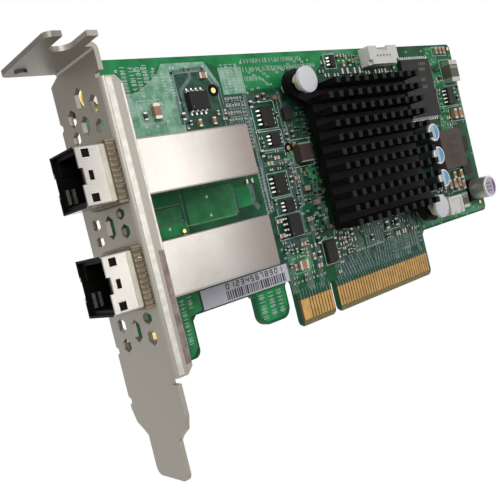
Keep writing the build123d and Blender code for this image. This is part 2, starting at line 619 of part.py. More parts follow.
# Two-ended parts
# x, z, length, width, thickness, turned (True: long side along Z)
CERAMICS = [
    (-39.3, 53.1, 3.2, 1.6, 1.2, True), (-25.1, 59.8, 2.0, 1.25, 0.9, False),
    (-28.8, 49.7, 1.6, 0.8, 0.8, True), (-24.8, 49.8, 1.6, 0.8, 0.8, True),
    (-9.2, 13.9, 2.6, 2.2, 1.4, False), (68.1, 42.9, 3.0, 1.5, 1.2, True),
    (70.8, 42.9, 3.0, 1.5, 1.2, True), (65.7, 62.3, 1.8, 1.0, 0.9, True),
    (67.7, 62.3, 1.8, 1.0, 0.9, True), (69.7, 62.3, 1.8, 1.0, 0.9, True),
    (59.7, 22.7, 2.6, 1.2, 1.0, True), (62.1, 22.7, 2.6, 1.2, 1.0, True),
    (57.3, 22.7, 2.6, 1.2, 1.0, True), (-1.6, 31.1, 1.6, 1.2, 0.8, False),
]
RESISTORS = [
    (-41.9, 52.4, 1.6, 0.8, 0.5, True), (13.2, 58.8, 1.6, 0.8, 0.5, False),
    (20.6, 61.9, 1.6, 0.8, 0.5, True), (34.3, 56.9, 1.6, 0.8, 0.5, False),
    (72.2, 47.6, 1.6, 0.8, 0.5, True), (17.9, 15.0, 1.6, 0.8, 0.5, True),
]
TANTALUM = [(70.0, 55.5, 6.4, 4.2, 2.6, True), (62.2, 17.1, 4.4, 3.0, 1.5, True)]
END_SHARE = 0.2


def chips(specs, ends):
    """Bodies or end caps of parts with two soldered ends."""
    out = []
    for x, z, length, width, t, turned in specs:
        cap = length * END_SHARE
        for s in (-1, 0, 1):
            if (s == 0) == ends:
                continue
            a = s * (length - cap) / 2
            l = cap if s else length - 2 * cap
            if turned:
                out.append(on_board(x, z + a, width, l, t))
            else:
                out.append(on_board(x + a, z, l, width, t))
    return group(out)


# Inductors and capacitors
POWER_L = (57.4, 32.7, 10.9, 11.2, 4.0)
SMALL_L = (-0.8, 39.5, 4.0, 4.6, 2.2)
COIL_CHAMFER = 0.5
TERMINAL_T = 0.15
TERMINAL_H = 1.4
TERMINAL_IN = 0.9         # terminal's centre inside the body's edge
CAN_X = 47.7
CAN_Z = [38.1, 31.6, 25.1]
CAN_D = 5.0
CAN_H = 4.6
CAN_BASE = 5.3
CAN_BASE_T = 0.8
BASE_CHAMFER = 0.18       # share of the base's side
POLY_X, POLY_Z = 69.4, 19.3
POLY_D = 6.3
POLY_H = 5.0
POLY_BASE = 6.6


def inductor(x, z, w, h, t):
    body = on_board(x, z, w, h, t, TERMINAL_T)
    return chamfer(body.edges().filter_by(Axis.Y), COIL_CHAMFER)


def inductor_terminals(specs):
    out = []
    for x, z, w, h, t in specs:
        for s in (-1, 1):
            out.append(on_board(x, z + s * (h / 2 - TERMINAL_IN), w * 0.45, TERMINAL_H, TERMINAL_T))
    return group(out)


def can(x, z, d, h):
    return rod(x, z, d / 2, FACE - CAN_BASE_T - h, FACE - CAN_BASE_T)


def can_base(x, z, side):
    base = on_board(x, z, side, side, CAN_BASE_T)
    near = [e for e in base.edges().filter_by(Axis.Y) if e.center().X > x]
    return chamfer(near, side * BASE_CHAMFER)


# Wire headers
HEAD_X0, HEAD_X1, HEAD_T = 30.0, 42.4, 3.4
HEAD_EDGE = 0.5           # header below the board's top edge
HEAD_H = 4.9
HEAD_Z1 = BOARD_TOP - HEAD_EDGE
HEAD_Z0 = HEAD_Z1 - HEAD_H
HEAD_BACK = 1.3           # closed end of the shroud
HEAD_PITCH = 2.0
HEAD_PIN_IN = 0.8         # pin tips inside the shroud
LATCH_X0, LATCH_X1, LATCH_H = 33.6, 38.2, 1.4   # latch notch in the mouth
SHOULDER_CUT = 1.1        # notches at the closed end's corners
SHOULDER_T = 0.9
SHOULDER_H = 1.2
HEAD_PINS = 5
AUX_X0, AUX_X1, AUX_Z0, AUX_Z1, AUX_T = 48.6, 55.4, 14.4, 19.4, 4.6
AUX_PINS = 3
AUX_PITCH = 1.6
AUX_FLOOR = 1.0           # floor of the shroud
AUX_SLIT_IN = 1.9         # slits in the lower wall
AUX_SLIT_W = 0.9
AUX_SLIT_T = 1.6
HEAD_WALL = 0.7
HEADER_PIN = 0.6


def make_header():
    """Side-entry shroud, open towards the board's top edge."""
    body = block(HEAD_X0, HEAD_X1, FACE - HEAD_T, FACE, HEAD_Z0, HEAD_Z1)
    body -= block(HEAD_X0 + HEAD_WALL, HEAD_X1 - HEAD_WALL, FACE - HEAD_T + HEAD_WALL,
                  FACE - HEAD_WALL, HEAD_Z0 + HEAD_BACK, HEAD_Z1 + 1)
    body -= block(LATCH_X0, LATCH_X1, FACE - HEAD_T - 1, FACE - HEAD_T + HEAD_WALL,
                  HEAD_Z1 - LATCH_H, HEAD_Z1 + 1)
    for x0, x1 in ((HEAD_X0 - 1, HEAD_X0 + SHOULDER_CUT), (HEAD_X1 - SHOULDER_CUT, HEAD_X1 + 1)):
        body -= block(x0, x1, FACE - HEAD_T - 1, FACE - HEAD_T + SHOULDER_T,
                      HEAD_Z0 - 1, HEAD_Z0 + SHOULDER_H)
    return body


def make_header_pins():
    out = []
    mid = (HEAD_X0 + HEAD_X1) / 2
    for i in range(HEAD_PINS):
        x = mid + (i - (HEAD_PINS - 1) / 2) * HEAD_PITCH
        out.append(block(x - HEADER_PIN / 2, x + HEADER_PIN / 2, FACE - HEAD_T / 2 - HEADER_PIN / 2,
                         FACE - HEAD_T / 2 + HEADER_PIN / 2, HEAD_Z0 + HEAD_BACK, HEAD_Z1 - HEAD_PIN_IN))
    mid = (AUX_X0 + AUX_X1) / 2
    zc = (AUX_Z0 + AUX_Z1) / 2
    for i in range(AUX_PINS):
        x = mid + (i - (AUX_PINS - 1) / 2) * AUX_PITCH
        out.append(block(x - HEADER_PIN / 2, x + HEADER_PIN / 2, FACE - AUX_T + HEAD_PIN_IN, FACE - AUX_FLOOR,
                         zc - HEADER_PIN / 2, zc + HEADER_PIN / 2))
    return group(out)


def make_aux_header():
    """Upright shroud, open towards the viewer's side."""
    body = block(AUX_X0, AUX_X1, FACE - AUX_T, FACE, AUX_Z0, AUX_Z1)
    body -= block(AUX_X0 + HEAD_WALL, AUX_X1 - HEAD_WALL, FACE - AUX_T - 1, FACE - AUX_FLOOR,
                  AUX_Z0 + HEAD_WALL, AUX_Z1 - HEAD_WALL)
    for x in (AUX_X0 + AUX_SLIT_IN, AUX_X1 - AUX_SLIT_IN):
        body -= block(x - AUX_SLIT_W / 2, x + AUX_SLIT_W / 2, FACE - AUX_T - 1, FACE - AUX_T + AUX_SLIT_T,
                      AUX_Z0 - 1, AUX_Z0 + HEAD_WALL)
    return body


# Label
LABEL_X0, LABEL_W, LABEL_H, LABEL_T = -39.1, 25.4, 4.1, 0.1
LABEL_UP = 0.3            # label above the board's lower edge
LABEL_Z0 = BOARD_LOWER_LEFT + LABEL_UP


def main():
    save("circuit_board", make_board())
    save("edge_contacts", make_contacts())
    save("bracket", make_bracket())
    save("bracket_screws", make_screws())
    for name, z in zip(("upper", "lower"), PORT_Z):
        save(f"{name}_cage", make_cage(z))
        save(f"{name}_receptacle", make_receptacle(z))
        save(f"{name}_gasket", make_gasket(z))
    save("port_contacts", make_port_contacts())
    save("port_springs", make_port_springs())
    save("heat_sink", make_sink())
    save("controller_chip", make_chip())
    pad = CHIP_DIE - 2 * PAD_INSET
    save("thermal_pad", on_board(SINK_X, SINK_Z, pad, pad, PAD_T, CHIP_TOP))
    save("push_pins", make_push_pins())
    save("push_pin_springs", make_push_springs())
    save("small_outline_chips", group([package(s) for s in SMALL_OUTLINE]))
    save("small_outline_leads", group(
        [lead for s in SMALL_OUTLINE for lead in leads(s, OUTLINE_PITCH, OUTLINE_LEAD_W)]))
    save("logic_chips", group([package(s) for s in LOGIC]))
    save("logic_leads", group(
        [lead for s in LOGIC for lead in leads(s, s[3] / (s[6] + LOGIC_MARGIN), LOGIC_LEAD_W)]))
    save("flash_chip", package(FLASH))
    save("flash_leads", group(leads(FLASH, FLASH_PITCH, FLASH_LEAD_W)))
    save("ceramic_capacitors", chips(CERAMICS, False))
    save("ceramic_ends", chips(CERAMICS, True))
    save("resistors", chips(RESISTORS, False))
    save("resistor_ends", chips(RESISTORS, True))
    save("tantalum_capacitors", chips(TANTALUM, False))
    save("tantalum_ends", chips(TANTALUM, True))
    save("power_inductor", inductor(*POWER_L))
    save("small_inductor", inductor(*SMALL_L))
    save("inductor_terminals", inductor_terminals([POWER_L, SMALL_L]))
    save("electrolytic_cans", group([can(CAN_X, z, CAN_D, CAN_H) for z in CAN_Z]))
    save("electrolytic_bases", group([can_base(CAN_X, z, CAN_BASE) for z in CAN_Z]))
    save("polymer_can", can(POLY_X, POLY_Z, POLY_D, POLY_H))
    save("polymer_base", can_base(POLY_X, POLY_Z, POLY_BASE))
    save("wire_header", make_header())
    save("aux_header", make_aux_header())
    save("header_pins", make_header_pins())
    save("label", block(LABEL_X0, LABEL_X0 + LABEL_W, FACE - LABEL_T, FACE,
                        LABEL_Z0, LABEL_Z0 + LABEL_H))


main()
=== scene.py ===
import math

import bmesh
import bpy
import numpy as np
from mathutils import Matrix, Vector


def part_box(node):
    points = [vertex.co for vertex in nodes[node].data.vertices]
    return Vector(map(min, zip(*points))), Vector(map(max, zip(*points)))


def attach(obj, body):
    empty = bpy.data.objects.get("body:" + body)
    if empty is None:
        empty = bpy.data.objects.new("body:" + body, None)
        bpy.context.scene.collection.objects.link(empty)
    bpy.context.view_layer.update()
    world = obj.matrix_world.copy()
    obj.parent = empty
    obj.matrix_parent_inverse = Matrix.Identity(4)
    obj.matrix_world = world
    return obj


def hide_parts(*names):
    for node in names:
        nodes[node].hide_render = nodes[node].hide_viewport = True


# The whole card, as it comes packed: every solid in metres, with the board upright in the
# XZ plane, its parts facing -Y and the bracket at the -X end. Tables below are in millimetres.
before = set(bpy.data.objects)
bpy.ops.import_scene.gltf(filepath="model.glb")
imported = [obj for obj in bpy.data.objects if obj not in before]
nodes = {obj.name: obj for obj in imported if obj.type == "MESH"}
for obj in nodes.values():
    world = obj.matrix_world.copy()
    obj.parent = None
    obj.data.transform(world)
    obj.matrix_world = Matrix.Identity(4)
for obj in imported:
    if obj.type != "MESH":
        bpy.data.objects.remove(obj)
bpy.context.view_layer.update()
MM = 0.001
board_low, board_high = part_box("circuit_board")
FACE, BACK = board_low.y / MM, board_high.y / MM


# Viewing place. The card is seen from in front of the bracket and a little to its component
# side, with the camera rolled so that the card leans back to the right.
def stand(name, data):
    """A new object that shows this data, put into the scene."""
    thing = bpy.data.objects.new(name, data)
    bpy.context.scene.collection.objects.link(thing)
    return thing


EYE = Vector((-118.69, -111.94, 28.79)) * MM
VIEW_RIGHT = Vector((0.764114, -0.599675, -0.237738))
VIEW_DOWN = Vector((-0.20854, 0.119117, -0.970733))
VIEW_AHEAD = Vector((0.610443, 0.791328, -0.034038))
FOCAL_PX = 665.71
CENTRE_PX = (212.57, 244.42)
PHOTO_PX = (500.0, 495.0)
camera_data = bpy.data.cameras.new("camera")
camera = stand("camera", camera_data)
pose = Matrix((VIEW_RIGHT, -VIEW_DOWN, -VIEW_AHEAD)).transposed().to_4x4()
pose.translation = EYE
camera.matrix_world = pose
camera_data.sensor_fit = "HORIZONTAL"
camera_data.sensor_width = 36.0
camera_data.lens = FOCAL_PX / PHOTO_PX[0] * camera_data.sensor_width
camera_data.shift_x = (PHOTO_PX[0] / 2 - CENTRE_PX[0]) / PHOTO_PX[0]
camera_data.shift_y = (CENTRE_PX[1] - PHOTO_PX[1] / 2) / PHOTO_PX[0]
camera_data.clip_start = 0.005
camera_data.clip_end = 20.0
bpy.context.scene.camera = camera
bpy.context.scene.view_settings.view_transform = "Standard"


# Studio. A white sweep well below the card and a white room behind it, a narrow soft box at the
# right front that the sheet metal mirrors, a broad key at the left front, and weaker ones.
def shader(tree, kind, sockets=None, **settings):
    """A new shader node of this kind, with its settings and its sockets filled in."""
    made = tree.nodes.new("ShaderNode" + kind)
    for name, value in settings.items():
        setattr(made, name, value)
    for name, value in (sockets or {}).items():
        made.inputs[name].default_value = value
    return made


def wire(tree, *joins):
    """Links, from rows of a node, its output, a second node and its socket."""
    for source, output, target, socket in joins:
        tree.links.new(source.outputs[output], target.inputs[socket])


def show_white(tree, lit, white, out):
    """A mix of two shaders by the kind of ray: what sees the background gets the white one, and
    every other ray the lit one. The mix's share is the largest of the three ray marks."""
    path, mix = shader(tree, "LightPath"), shader(tree, "MixShader")
    first, both = [shader(tree, "Math", operation="MAXIMUM") for _ in range(2)]
    wire(tree, (path, "Is Camera Ray", first, 0), (path, "Is Glossy Ray", first, 1), (first, "Value", both, 0),
         (path, "Is Transmission Ray", both, 1), (both, "Value", mix, "Fac"), (lit, 0, mix, 1),
         (white, 0, mix, 2), (mix, "Shader", out, "Surface"))


def blank_material(name):
    """A material with no nodes in its tree yet."""
    made = bpy.data.materials.new(name)
    made.use_nodes = True
    made.node_tree.nodes.clear()
    return made


def backdrop(name, points, material):
    """One staged rectangle."""
    mesh = bpy.data.meshes.new(name)
    mesh.from_pydata(points, [], [(0, 1, 2, 3)])
    mesh.materials.append(material)
    stand(name, mesh)


WHITE, WARM_WHITE, CARD_WHITE = (1.0, 1.0, 1.0, 1.0), (1.0, 0.985, 0.96, 1.0), (1.0, 0.97, 0.92, 1.0)
ROOM_LIGHT, FLOOR_GREY, FLAG_LIGHT = 0.62, (0.45, 0.45, 0.45, 1.0), 0.42
world = bpy.data.worlds.new("studio_room")
bpy.context.scene.world = world
world.use_nodes = True
room = world.node_tree
room.nodes.clear()
show_white(room, shader(room, "Background", {"Color": WARM_WHITE, "Strength": ROOM_LIGHT}),
           shader(room, "Background", {"Color": WHITE}), shader(room, "OutputWorld"))

FLOOR_Z, FLOOR_HALF = -0.30, 6.0
sweep = blank_material("white_sweep")
paper = sweep.node_tree
show_white(paper, shader(paper, "BsdfDiffuse", {"Color": FLOOR_GREY}), shader(paper, "Emission"),
           shader(paper, "OutputMaterial"))
backdrop("floor", [(sx * FLOOR_HALF, sy * FLOOR_HALF, FLOOR_Z) for sx, sy in ((-1, -1), (1, -1), (1, 1), (-1, 1))],
         sweep)

# a grey card at the left back, out of the picture, that the upper part of the bracket mirrors
FLAG_X, FLAG_Y, FLAG_Z = (-1.15, -0.25), 0.90, (0.06, 0.85)
grey_card = blank_material("grey_card")
card_glow = shader(grey_card.node_tree, "Emission", {"Color": CARD_WHITE, "Strength": FLAG_LIGHT})
wire(grey_card.node_tree, (card_glow, "Emission", shader(grey_card.node_tree, "OutputMaterial"), "Surface"))
backdrop("grey_flag", [(FLAG_X[i], FLAG_Y, FLAG_Z[k]) for i, k in ((0, 0), (1, 0), (1, 1), (0, 1))], grey_card)

CARD_MIDDLE = Vector((0.0, 0.0, 0.03))
LAMPS = [
    # name, place, width, height, watts, tint
    ("right_front_box", (0.58, -0.92, 0.22), 0.15, 0.48, 0.8, (1.0, 0.99, 0.97)),
    ("low_front_box", (0.48, -0.97, -0.06), 0.14, 0.14, 0.2, (1.0, 0.99, 0.97)),
    ("key_box", (-0.45, -0.95, 0.42), 0.6, 0.5, 4.8, (1.0, 0.99, 0.97)),
    ("left_box", (-0.75, -0.45, 0.65), 0.5, 0.5, 1.5, (1.0, 0.98, 0.95)),
    ("back_box", (0.1, 0.9, 0.7), 0.7, 0.5, 6.0, (1.0, 1.0, 1.0))]
for name, place, width, tall, watts, tint in LAMPS:
    lamp = bpy.data.lights.new(name, "AREA")
    lamp.shape, lamp.size, lamp.size_y = "RECTANGLE", width, tall
    lamp.energy, lamp.color = watts, tint
    holder = stand(name, lamp)
    holder.location = place
    holder.rotation_euler = (CARD_MIDDLE - Vector(place)).to_track_quat("-Z", "Y").to_euler()


# Circuit board: glass cloth and epoxy under a green solder mask, routed to outline. The mask
# is glossy; its tone differs over copper fills and bare laminate, and its edges are cut raw.
TONE_STOPS, ROUGH_SWING = (0.36, 0.64), 0.07


def finish(name, colour, rough, metal=0.0, mottle=0.05, mottle_mm=6.0, grain_mm=0.25, bump=0.01,
           gloss=0.5, second=None, painted_shade_ramp=None):
    """A finish whose colour runs between two tones by a slow noise, and whose roughness and
    relief vary by a fine one. Without a second tone, the two lie evenly about the colour.
    Sizes are the noises' feature sizes in millimetres. A painted shade ramp is a start and an end
    along X, in millimetres, between which the colour runs over to a last one, as painted shade."""
    made = bpy.data.materials.new(name)
    made.use_nodes = True
    tree = made.node_tree
    skin = tree.nodes["Principled BSDF"]
    skin.inputs["Metallic"].default_value = metal
    skin.inputs["Specular IOR Level"].default_value = gloss
    where = shader(tree, "TexCoord")
    slow = shader(tree, "TexNoise", {"Scale": 1 / (mottle_mm * MM), "Detail": 3.0})
    fine = shader(tree, "TexNoise", {"Scale": 1 / (grain_mm * MM), "Detail": 2.0})
    tone = shader(tree, "ValToRGB")
    low = [max(0.0, c * (1 - mottle)) for c in colour]
    high = second or [min(1.0, c * (1 + mottle)) for c in colour]
    for stop, place, shade in zip(tone.color_ramp.elements, TONE_STOPS, (low, high)):
        stop.position, stop.color = place, (*shade, 1.0)
    spread = shader(tree, "MapRange", {"To Min": max(0.02, rough - ROUGH_SWING),
                                       "To Max": min(1.0, rough + ROUGH_SWING)})
    relief = shader(tree, "Bump", {"Strength": 0.5, "Distance": bump * MM})
    wire(tree, (where, "Object", slow, "Vector"), (where, "Object", fine, "Vector"), (slow, "Fac", tone, "Fac"),
         (fine, "Fac", spread, "Value"), (spread, "Result", skin, "Roughness"),
         (fine, "Fac", relief, "Height"), (relief, "Normal", skin, "Normal"))
    if painted_shade_ramp:
        start, end, last = painted_shade_ramp
        split = shader(tree, "SeparateXYZ")
        ramp = shader(tree, "MapRange", {"From Min": start * MM, "From Max": end * MM},
                      interpolation_type="SMOOTHSTEP")
        over = shader(tree, "Mix", data_type="RGBA")
        over.inputs["B"].default_value = (*last, 1.0)
        wire(tree, (where, "Object", split, "Vector"), (split, "X", ramp, "Value"), (ramp, "Result", over, "Factor"),
             (tone, "Color", over, "A"), (over, "Result", skin, "Base Color"))
    else:
        wire(tree, (tone, "Color", skin, "Base Color"))
    return made


def coat(material, *names):
    """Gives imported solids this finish, in place of the plain ones that they came with."""
    for name in names:
        nodes[name].data.materials.clear()
        nodes[name].data.materials.append(material)


coat(finish("green_mask", (0.006, 0.062, 0.024), 0.34, mottle=0.3, mottle_mm=9.0, grain_mm=0.4, gloss=0.12,
            second=(0.01, 0.112, 0.04)), "circuit_board")


# Copper fills under the mask: thin raised fields that make the mask darker or greyer, and pale fields of painted
# sheen.
# Each is etched to an outline, which is given here in millimetres along the board and up it.
def join(parts):
    """Several (points, faces) meshes as one, with the faces renumbered."""
    points, faces, start = [], [], 0
    for p, f in parts:
        points.append(np.asarray(p, float))
        faces.extend([[i + start for i in face] for face in f])
        start += len(p)
    return np.concatenate(points), faces


def carried(rings):
    """Closed tubes from rings[tube, ring, corner]: a wall from each side of a ring to the same
    side of the next, and the first and last rings as ends."""
    count, steps, sides = rings.shape[:3]
    i = np.arange(sides)
    j = (i + 1) % sides
    wall = np.stack([i, i + sides, j + sides, j], axis=1)
    walls = (wall + sides * np.arange(steps - 1)[:, None, None]).reshape(-1, 4)
    faces = []
    for base in np.arange(count) * steps * sides:
        faces += [(i + base).tolist(), (i[::-1] + base + sides * (steps - 1)).tolist()]
        faces += (walls + base).tolist()
    return rings.reshape(-1, 3), faces


def slabs(flat, y0, y1):
    """Closed slabs from outlines[slab, corner] in x and z, anticlockwise as seen from the -Y
    side, each at y0 and again at y1."""
    rings = np.empty((len(flat), 2, flat.shape[1], 3))
    rings[..., 0], rings[..., 2] = flat[:, None, :, 0], flat[:, None, :, 1]
    rings[:, 0, :, 1], rings[:, 1, :, 1] = np.reshape(y0, (-1, 1)), np.reshape(y1, (-1, 1))
    return carried(rings)


def prism(outline, y0, y1):
    """One slab of any outline. Twice the outline's area, the sum of x z' - x' z over its sides,
    is below nought where it runs clockwise, and then it is turned round."""
    flat = np.asarray(outline, float)
    ahead = np.roll(flat, -1, axis=0)
    if (flat[:, 0] * ahead[:, 1] - ahead[:, 0] * flat[:, 1]).sum() < 0:
        flat = flat[::-1]
    return slabs(flat[None], y0, y1)


def blocks(rows):
    """Closed boxes from rows of x0, x1, y0, y1, z0, z1."""
    rows = np.asarray(rows, float)
    return slabs(np.stack([rows[:, [0, 1, 1, 0]], rows[:, [4, 4, 5, 5]]], axis=-1), rows[:, 2], rows[:, 3])


def plates(rows, face, up, down=0.05):
    """Thin boxes from rows of x0, x1, z0, z1 that lie on a face at y = face: each stands proud
    of it by up and reaches into it by down."""
    return blocks([(x0, x1, face - up, face + down, z0, z1) for x0, x1, z0, z1 in rows])


def corners(x0, x1, z0, z1):
    """The four corners of a rectangle, anticlockwise."""
    return [(x0, z0), (x1, z0), (x1, z1), (x0, z1)]


def add_piece(name, made, material, smooth=False):
    """A piece from (points in millimetres, faces), which rides on the card."""
    points, faces = made
    mesh = bpy.data.meshes.new(name)
    mesh.from_pydata((np.asarray(points) * MM).tolist(), [], faces)
    mesh.materials.append(material)
    mesh.polygons.foreach_set("use_smooth", np.full(len(faces), smooth))
    mesh.update()
    piece = stand(name, mesh)
    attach(piece, "root")
    return piece


FILL_T, FILL_STEP = 0.02, 0.002
FILLS = [
    # finish, lower tone, upper tone, patch size, fields: corners, or x0, x1, z0, z1 of a rectangle
    ("ground_fill", (0.004, 0.034, 0.017), (0.013, 0.085, 0.044), 1.8, [
        [(-15.4, 55.4), (0.2, 55.4), (1.6, 51), (4.8, 51), (4.8, 11.4), (-1.2, 11.4), (-1.2, 9.6),
        (-12.4, 9.6), (-12.4, 11.4), (-15.4, 11.4)], (12.6, 29.6, 56.4, 60.4)]),
    # pale fields at the top left: painted sheen, standing in for the glossy mask's reflection of the light
    ("painted_sheen_fill", (0.115, 0.285, 0.18), (0.255, 0.46, 0.345), 1.7, [
        [(-56.3, 56), (-49, 56.4), (-42, 57.6), (-37, 60.6), (-35, 63), (-23.5, 63), (-20.6, 58),
        (-20.6, 55.2), (-20.8, 46.6), (-56.3, 46.6)], (-20, -13.1, 55.3, 61.4)]),
    ("bright_fill", (0.004, 0.15, 0.042), (0.018, 0.24, 0.078), 4, [
        [(15.5, 62.7), (29.6, 62.7), (29.6, 60.6), (14.6, 60.6)], [(-56.3, 64.2), (44, 64.2), (44, 63),
        (14.6, 62.8), (13.8, 60.4), (11, 58.4), (0.4, 55.9), (-12.9, 55.9), (-12.9, 61.5), (-20.2, 61.5),
        (-23.5, 63.1), (-35.2, 63.1), (-37.2, 60.8), (-42.2, 57.8), (-49.2, 56.6), (-56.3, 56.2)],
        [(-24.5, 10.9), (-16.1, 10.9), (-16.1, 6.2), (-17.4, 4.3), (-23.2, 4.3), (-24.5, 5.8)],
        (-56.2, -37.6, 33.9, 36), (-56.2, -38, 27.6, 30.2), [(-23.4, 34.6), (-19.6, 34.6), (-18.8, 33),
        (-19.4, 30.2), (-23.4, 30.2)], [(60.4, 63.6), (66.2, 63.6), (66.2, 58.9), (63, 58), (60.4, 58.9)],
        [(60.6, 54.9), (66, 56.2), (66.4, 52.8), (62.4, 51.9), (60.6, 52.4)], [(61, 47.6), (64.6, 46.4),
        (66, 43.6), (62.4, 43.6), (60.8, 44.8)], [(40.6, 17.6), (44.6, 14.8), (73.6, 14.9), (73.6, 12.9),
        (40.6, 12.9)], (0.2, 3.2, 31.9, 35.6), (-5.4, -2.8, 37, 40.8)]),
    ("mid_fill", (0.013, 0.15, 0.046), (0.028, 0.232, 0.08), 3, [
        (-37.3, -24.2, 28.7, 35.9), (-56.2, -39, 30.6, 33.4), [(-56.2, 16.8), (-39.6, 16.8), (-39.6, 11.6),
        (-42.8, 11), (-42.8, 4.6), (-44.4, 3.1), (-56.2, 3.1)], [(-12.4, 16.6), (-5.2, 16.6), (-5, 11.4),
        (-12.4, 11.4)], (60.6, 66, 30.8, 42.9)]),
    ("deep_fill", (0.004, 0.03, 0.014), (0.008, 0.058, 0.024), 3, [
        [(-18.4, 35.2), (-16.4, 34.4), (-16.4, 29.8), (-18.8, 29.8)], [(4.3, 7.5), (39.2, 7.5), (39.2, 6.4),
        (1.3, 6.4), (1.3, 9.2), (4.3, 9.2)], (-12.2, -1.3, 6.4, 7.3), [(37.9, 19.4), (39.6, 18),
        (39.6, 8.2), (37.9, 8.2)], [(10.8, 18.2), (15.2, 18.8), (14.6, 12.8), (10.6, 12.6)], [(60.6, 57.6),
        (66, 57.4), (66, 56.4), (60.6, 55.2)], [(0.6, 56.6), (3.4, 59.4), (1, 60.2), (-0.8, 57.4)],
        [(1, 29.6), (4, 29.6), (3.6, 21.6), (1, 21.6)]]),
    ("grey_fill", (0.016, 0.045, 0.034), (0.05, 0.095, 0.082), 0.9, [
        (-20.4, -15.1, 46.8, 55), [(4.4, 12.6), (10.2, 12.6), (15.2, 12.4), (15.2, 18.9), (22.8, 18.9),
        (22.8, 13.6), (37.4, 14.8), (37.4, 9.4), (32.8, 9.4), (32.8, 8.6), (28.2, 8.6), (28.2, 7.8),
        (4.4, 7.8)], (-12.8, -2.2, 53.2, 54.6), (-12.6, -5, 17.8, 20.4), (-6.6, -3, 28, 38.6),
        (-4.6, -0.4, 42.4, 52.6)]),
    ("teal_fill", (0.01, 0.044, 0.028), (0.034, 0.088, 0.066), 1.6, [
        [(-32.4, 60.6), (-24.6, 60.9), (-21.7, 56.6), (-21.4, 47.2), (-32.4, 47.2)], (-14.9, -13, 27.4, 55),
        (-12.6, -5, 41.4, 46.6), (-12.6, -7, 26.4, 30.9), [(4.6, 18.9), (10.6, 18.9), (10.2, 12.9),
        (4.6, 12.9)], [(23.2, 19.4), (37.6, 19.4), (37.6, 15.1), (23.2, 13.9)], (48.4, 66, 20, 24.2)])]
for order, (title, low_tone, high_tone, patch, fields) in enumerate(FILLS):
    outlines = [corners(*field) if isinstance(field, tuple) else field for field in fields]
    add_piece(title + "s", join([prism(o, FACE - FILL_T - FILL_STEP * order, FACE + FILL_T) for o in outlines]),
              finish(title, low_tone, 0.36, mottle=0.0, mottle_mm=patch, grain_mm=0.3, gloss=0.14, second=high_tone))


# Traces: etched copper runs under the mask, drawn as bundles of thin raised lines that step
# through 45 degrees, as the tracks between the sockets, the controller and the fingers do.
def runs(paths, width, y0, y1):
    """Flat bars along open lines. Each straight piece of a line from a to b is a box whose
    long sides stand half a width off it, along the direction across a to b."""
    a = np.concatenate([np.asarray(p, float)[:-1] for p in paths])
    b = np.concatenate([np.asarray(p, float)[1:] for p in paths])
    along = b - a
    along /= np.maximum(np.hypot(along[:, 0], along[:, 1]), 1e-9)[:, None]
    across = along[:, ::-1] * (-width / 2, width / 2)
    a, b = a - along * width * 0.2, b + along * width * 0.2
    return slabs(np.stack([a - across, b - across, b + across, a + across], axis=1), y0, y1)


def bundle(line, count, pitch):
    """Copies of a line side by side. Each corner moves along the bisector of its two sides by
    the offset over the cosine of half the turn, so that the copies stay parallel."""
    p = np.asarray(line, float)
    d = np.diff(p, axis=0)
    d /= np.hypot(d[:, 0], d[:, 1])[:, None]
    n = np.stack([-d[:, 1], d[:, 0]], axis=1)
    ends = np.concatenate([n[:1], n[:-1] + n[1:], n[-1:]])
    ends /= np.maximum((ends * np.concatenate([n[:1], n])).sum(axis=1), 0.2)[:, None]
    shift = (np.arange(count) - (count - 1) / 2) * pitch
    return [p + ends * s for s in shift]


def zigzag(x, z0, z1, step, out, back, lean=0.0):
    """A folded line up from z0: its corners stand by out and by back off x in turn, and it
    leans to the left by lean times its height."""
    z = np.arange(z0, z1, step)
    return np.stack([x - lean * (z - z0) + np.where(np.arange(len(z)) % 2, out, back), z], axis=1)


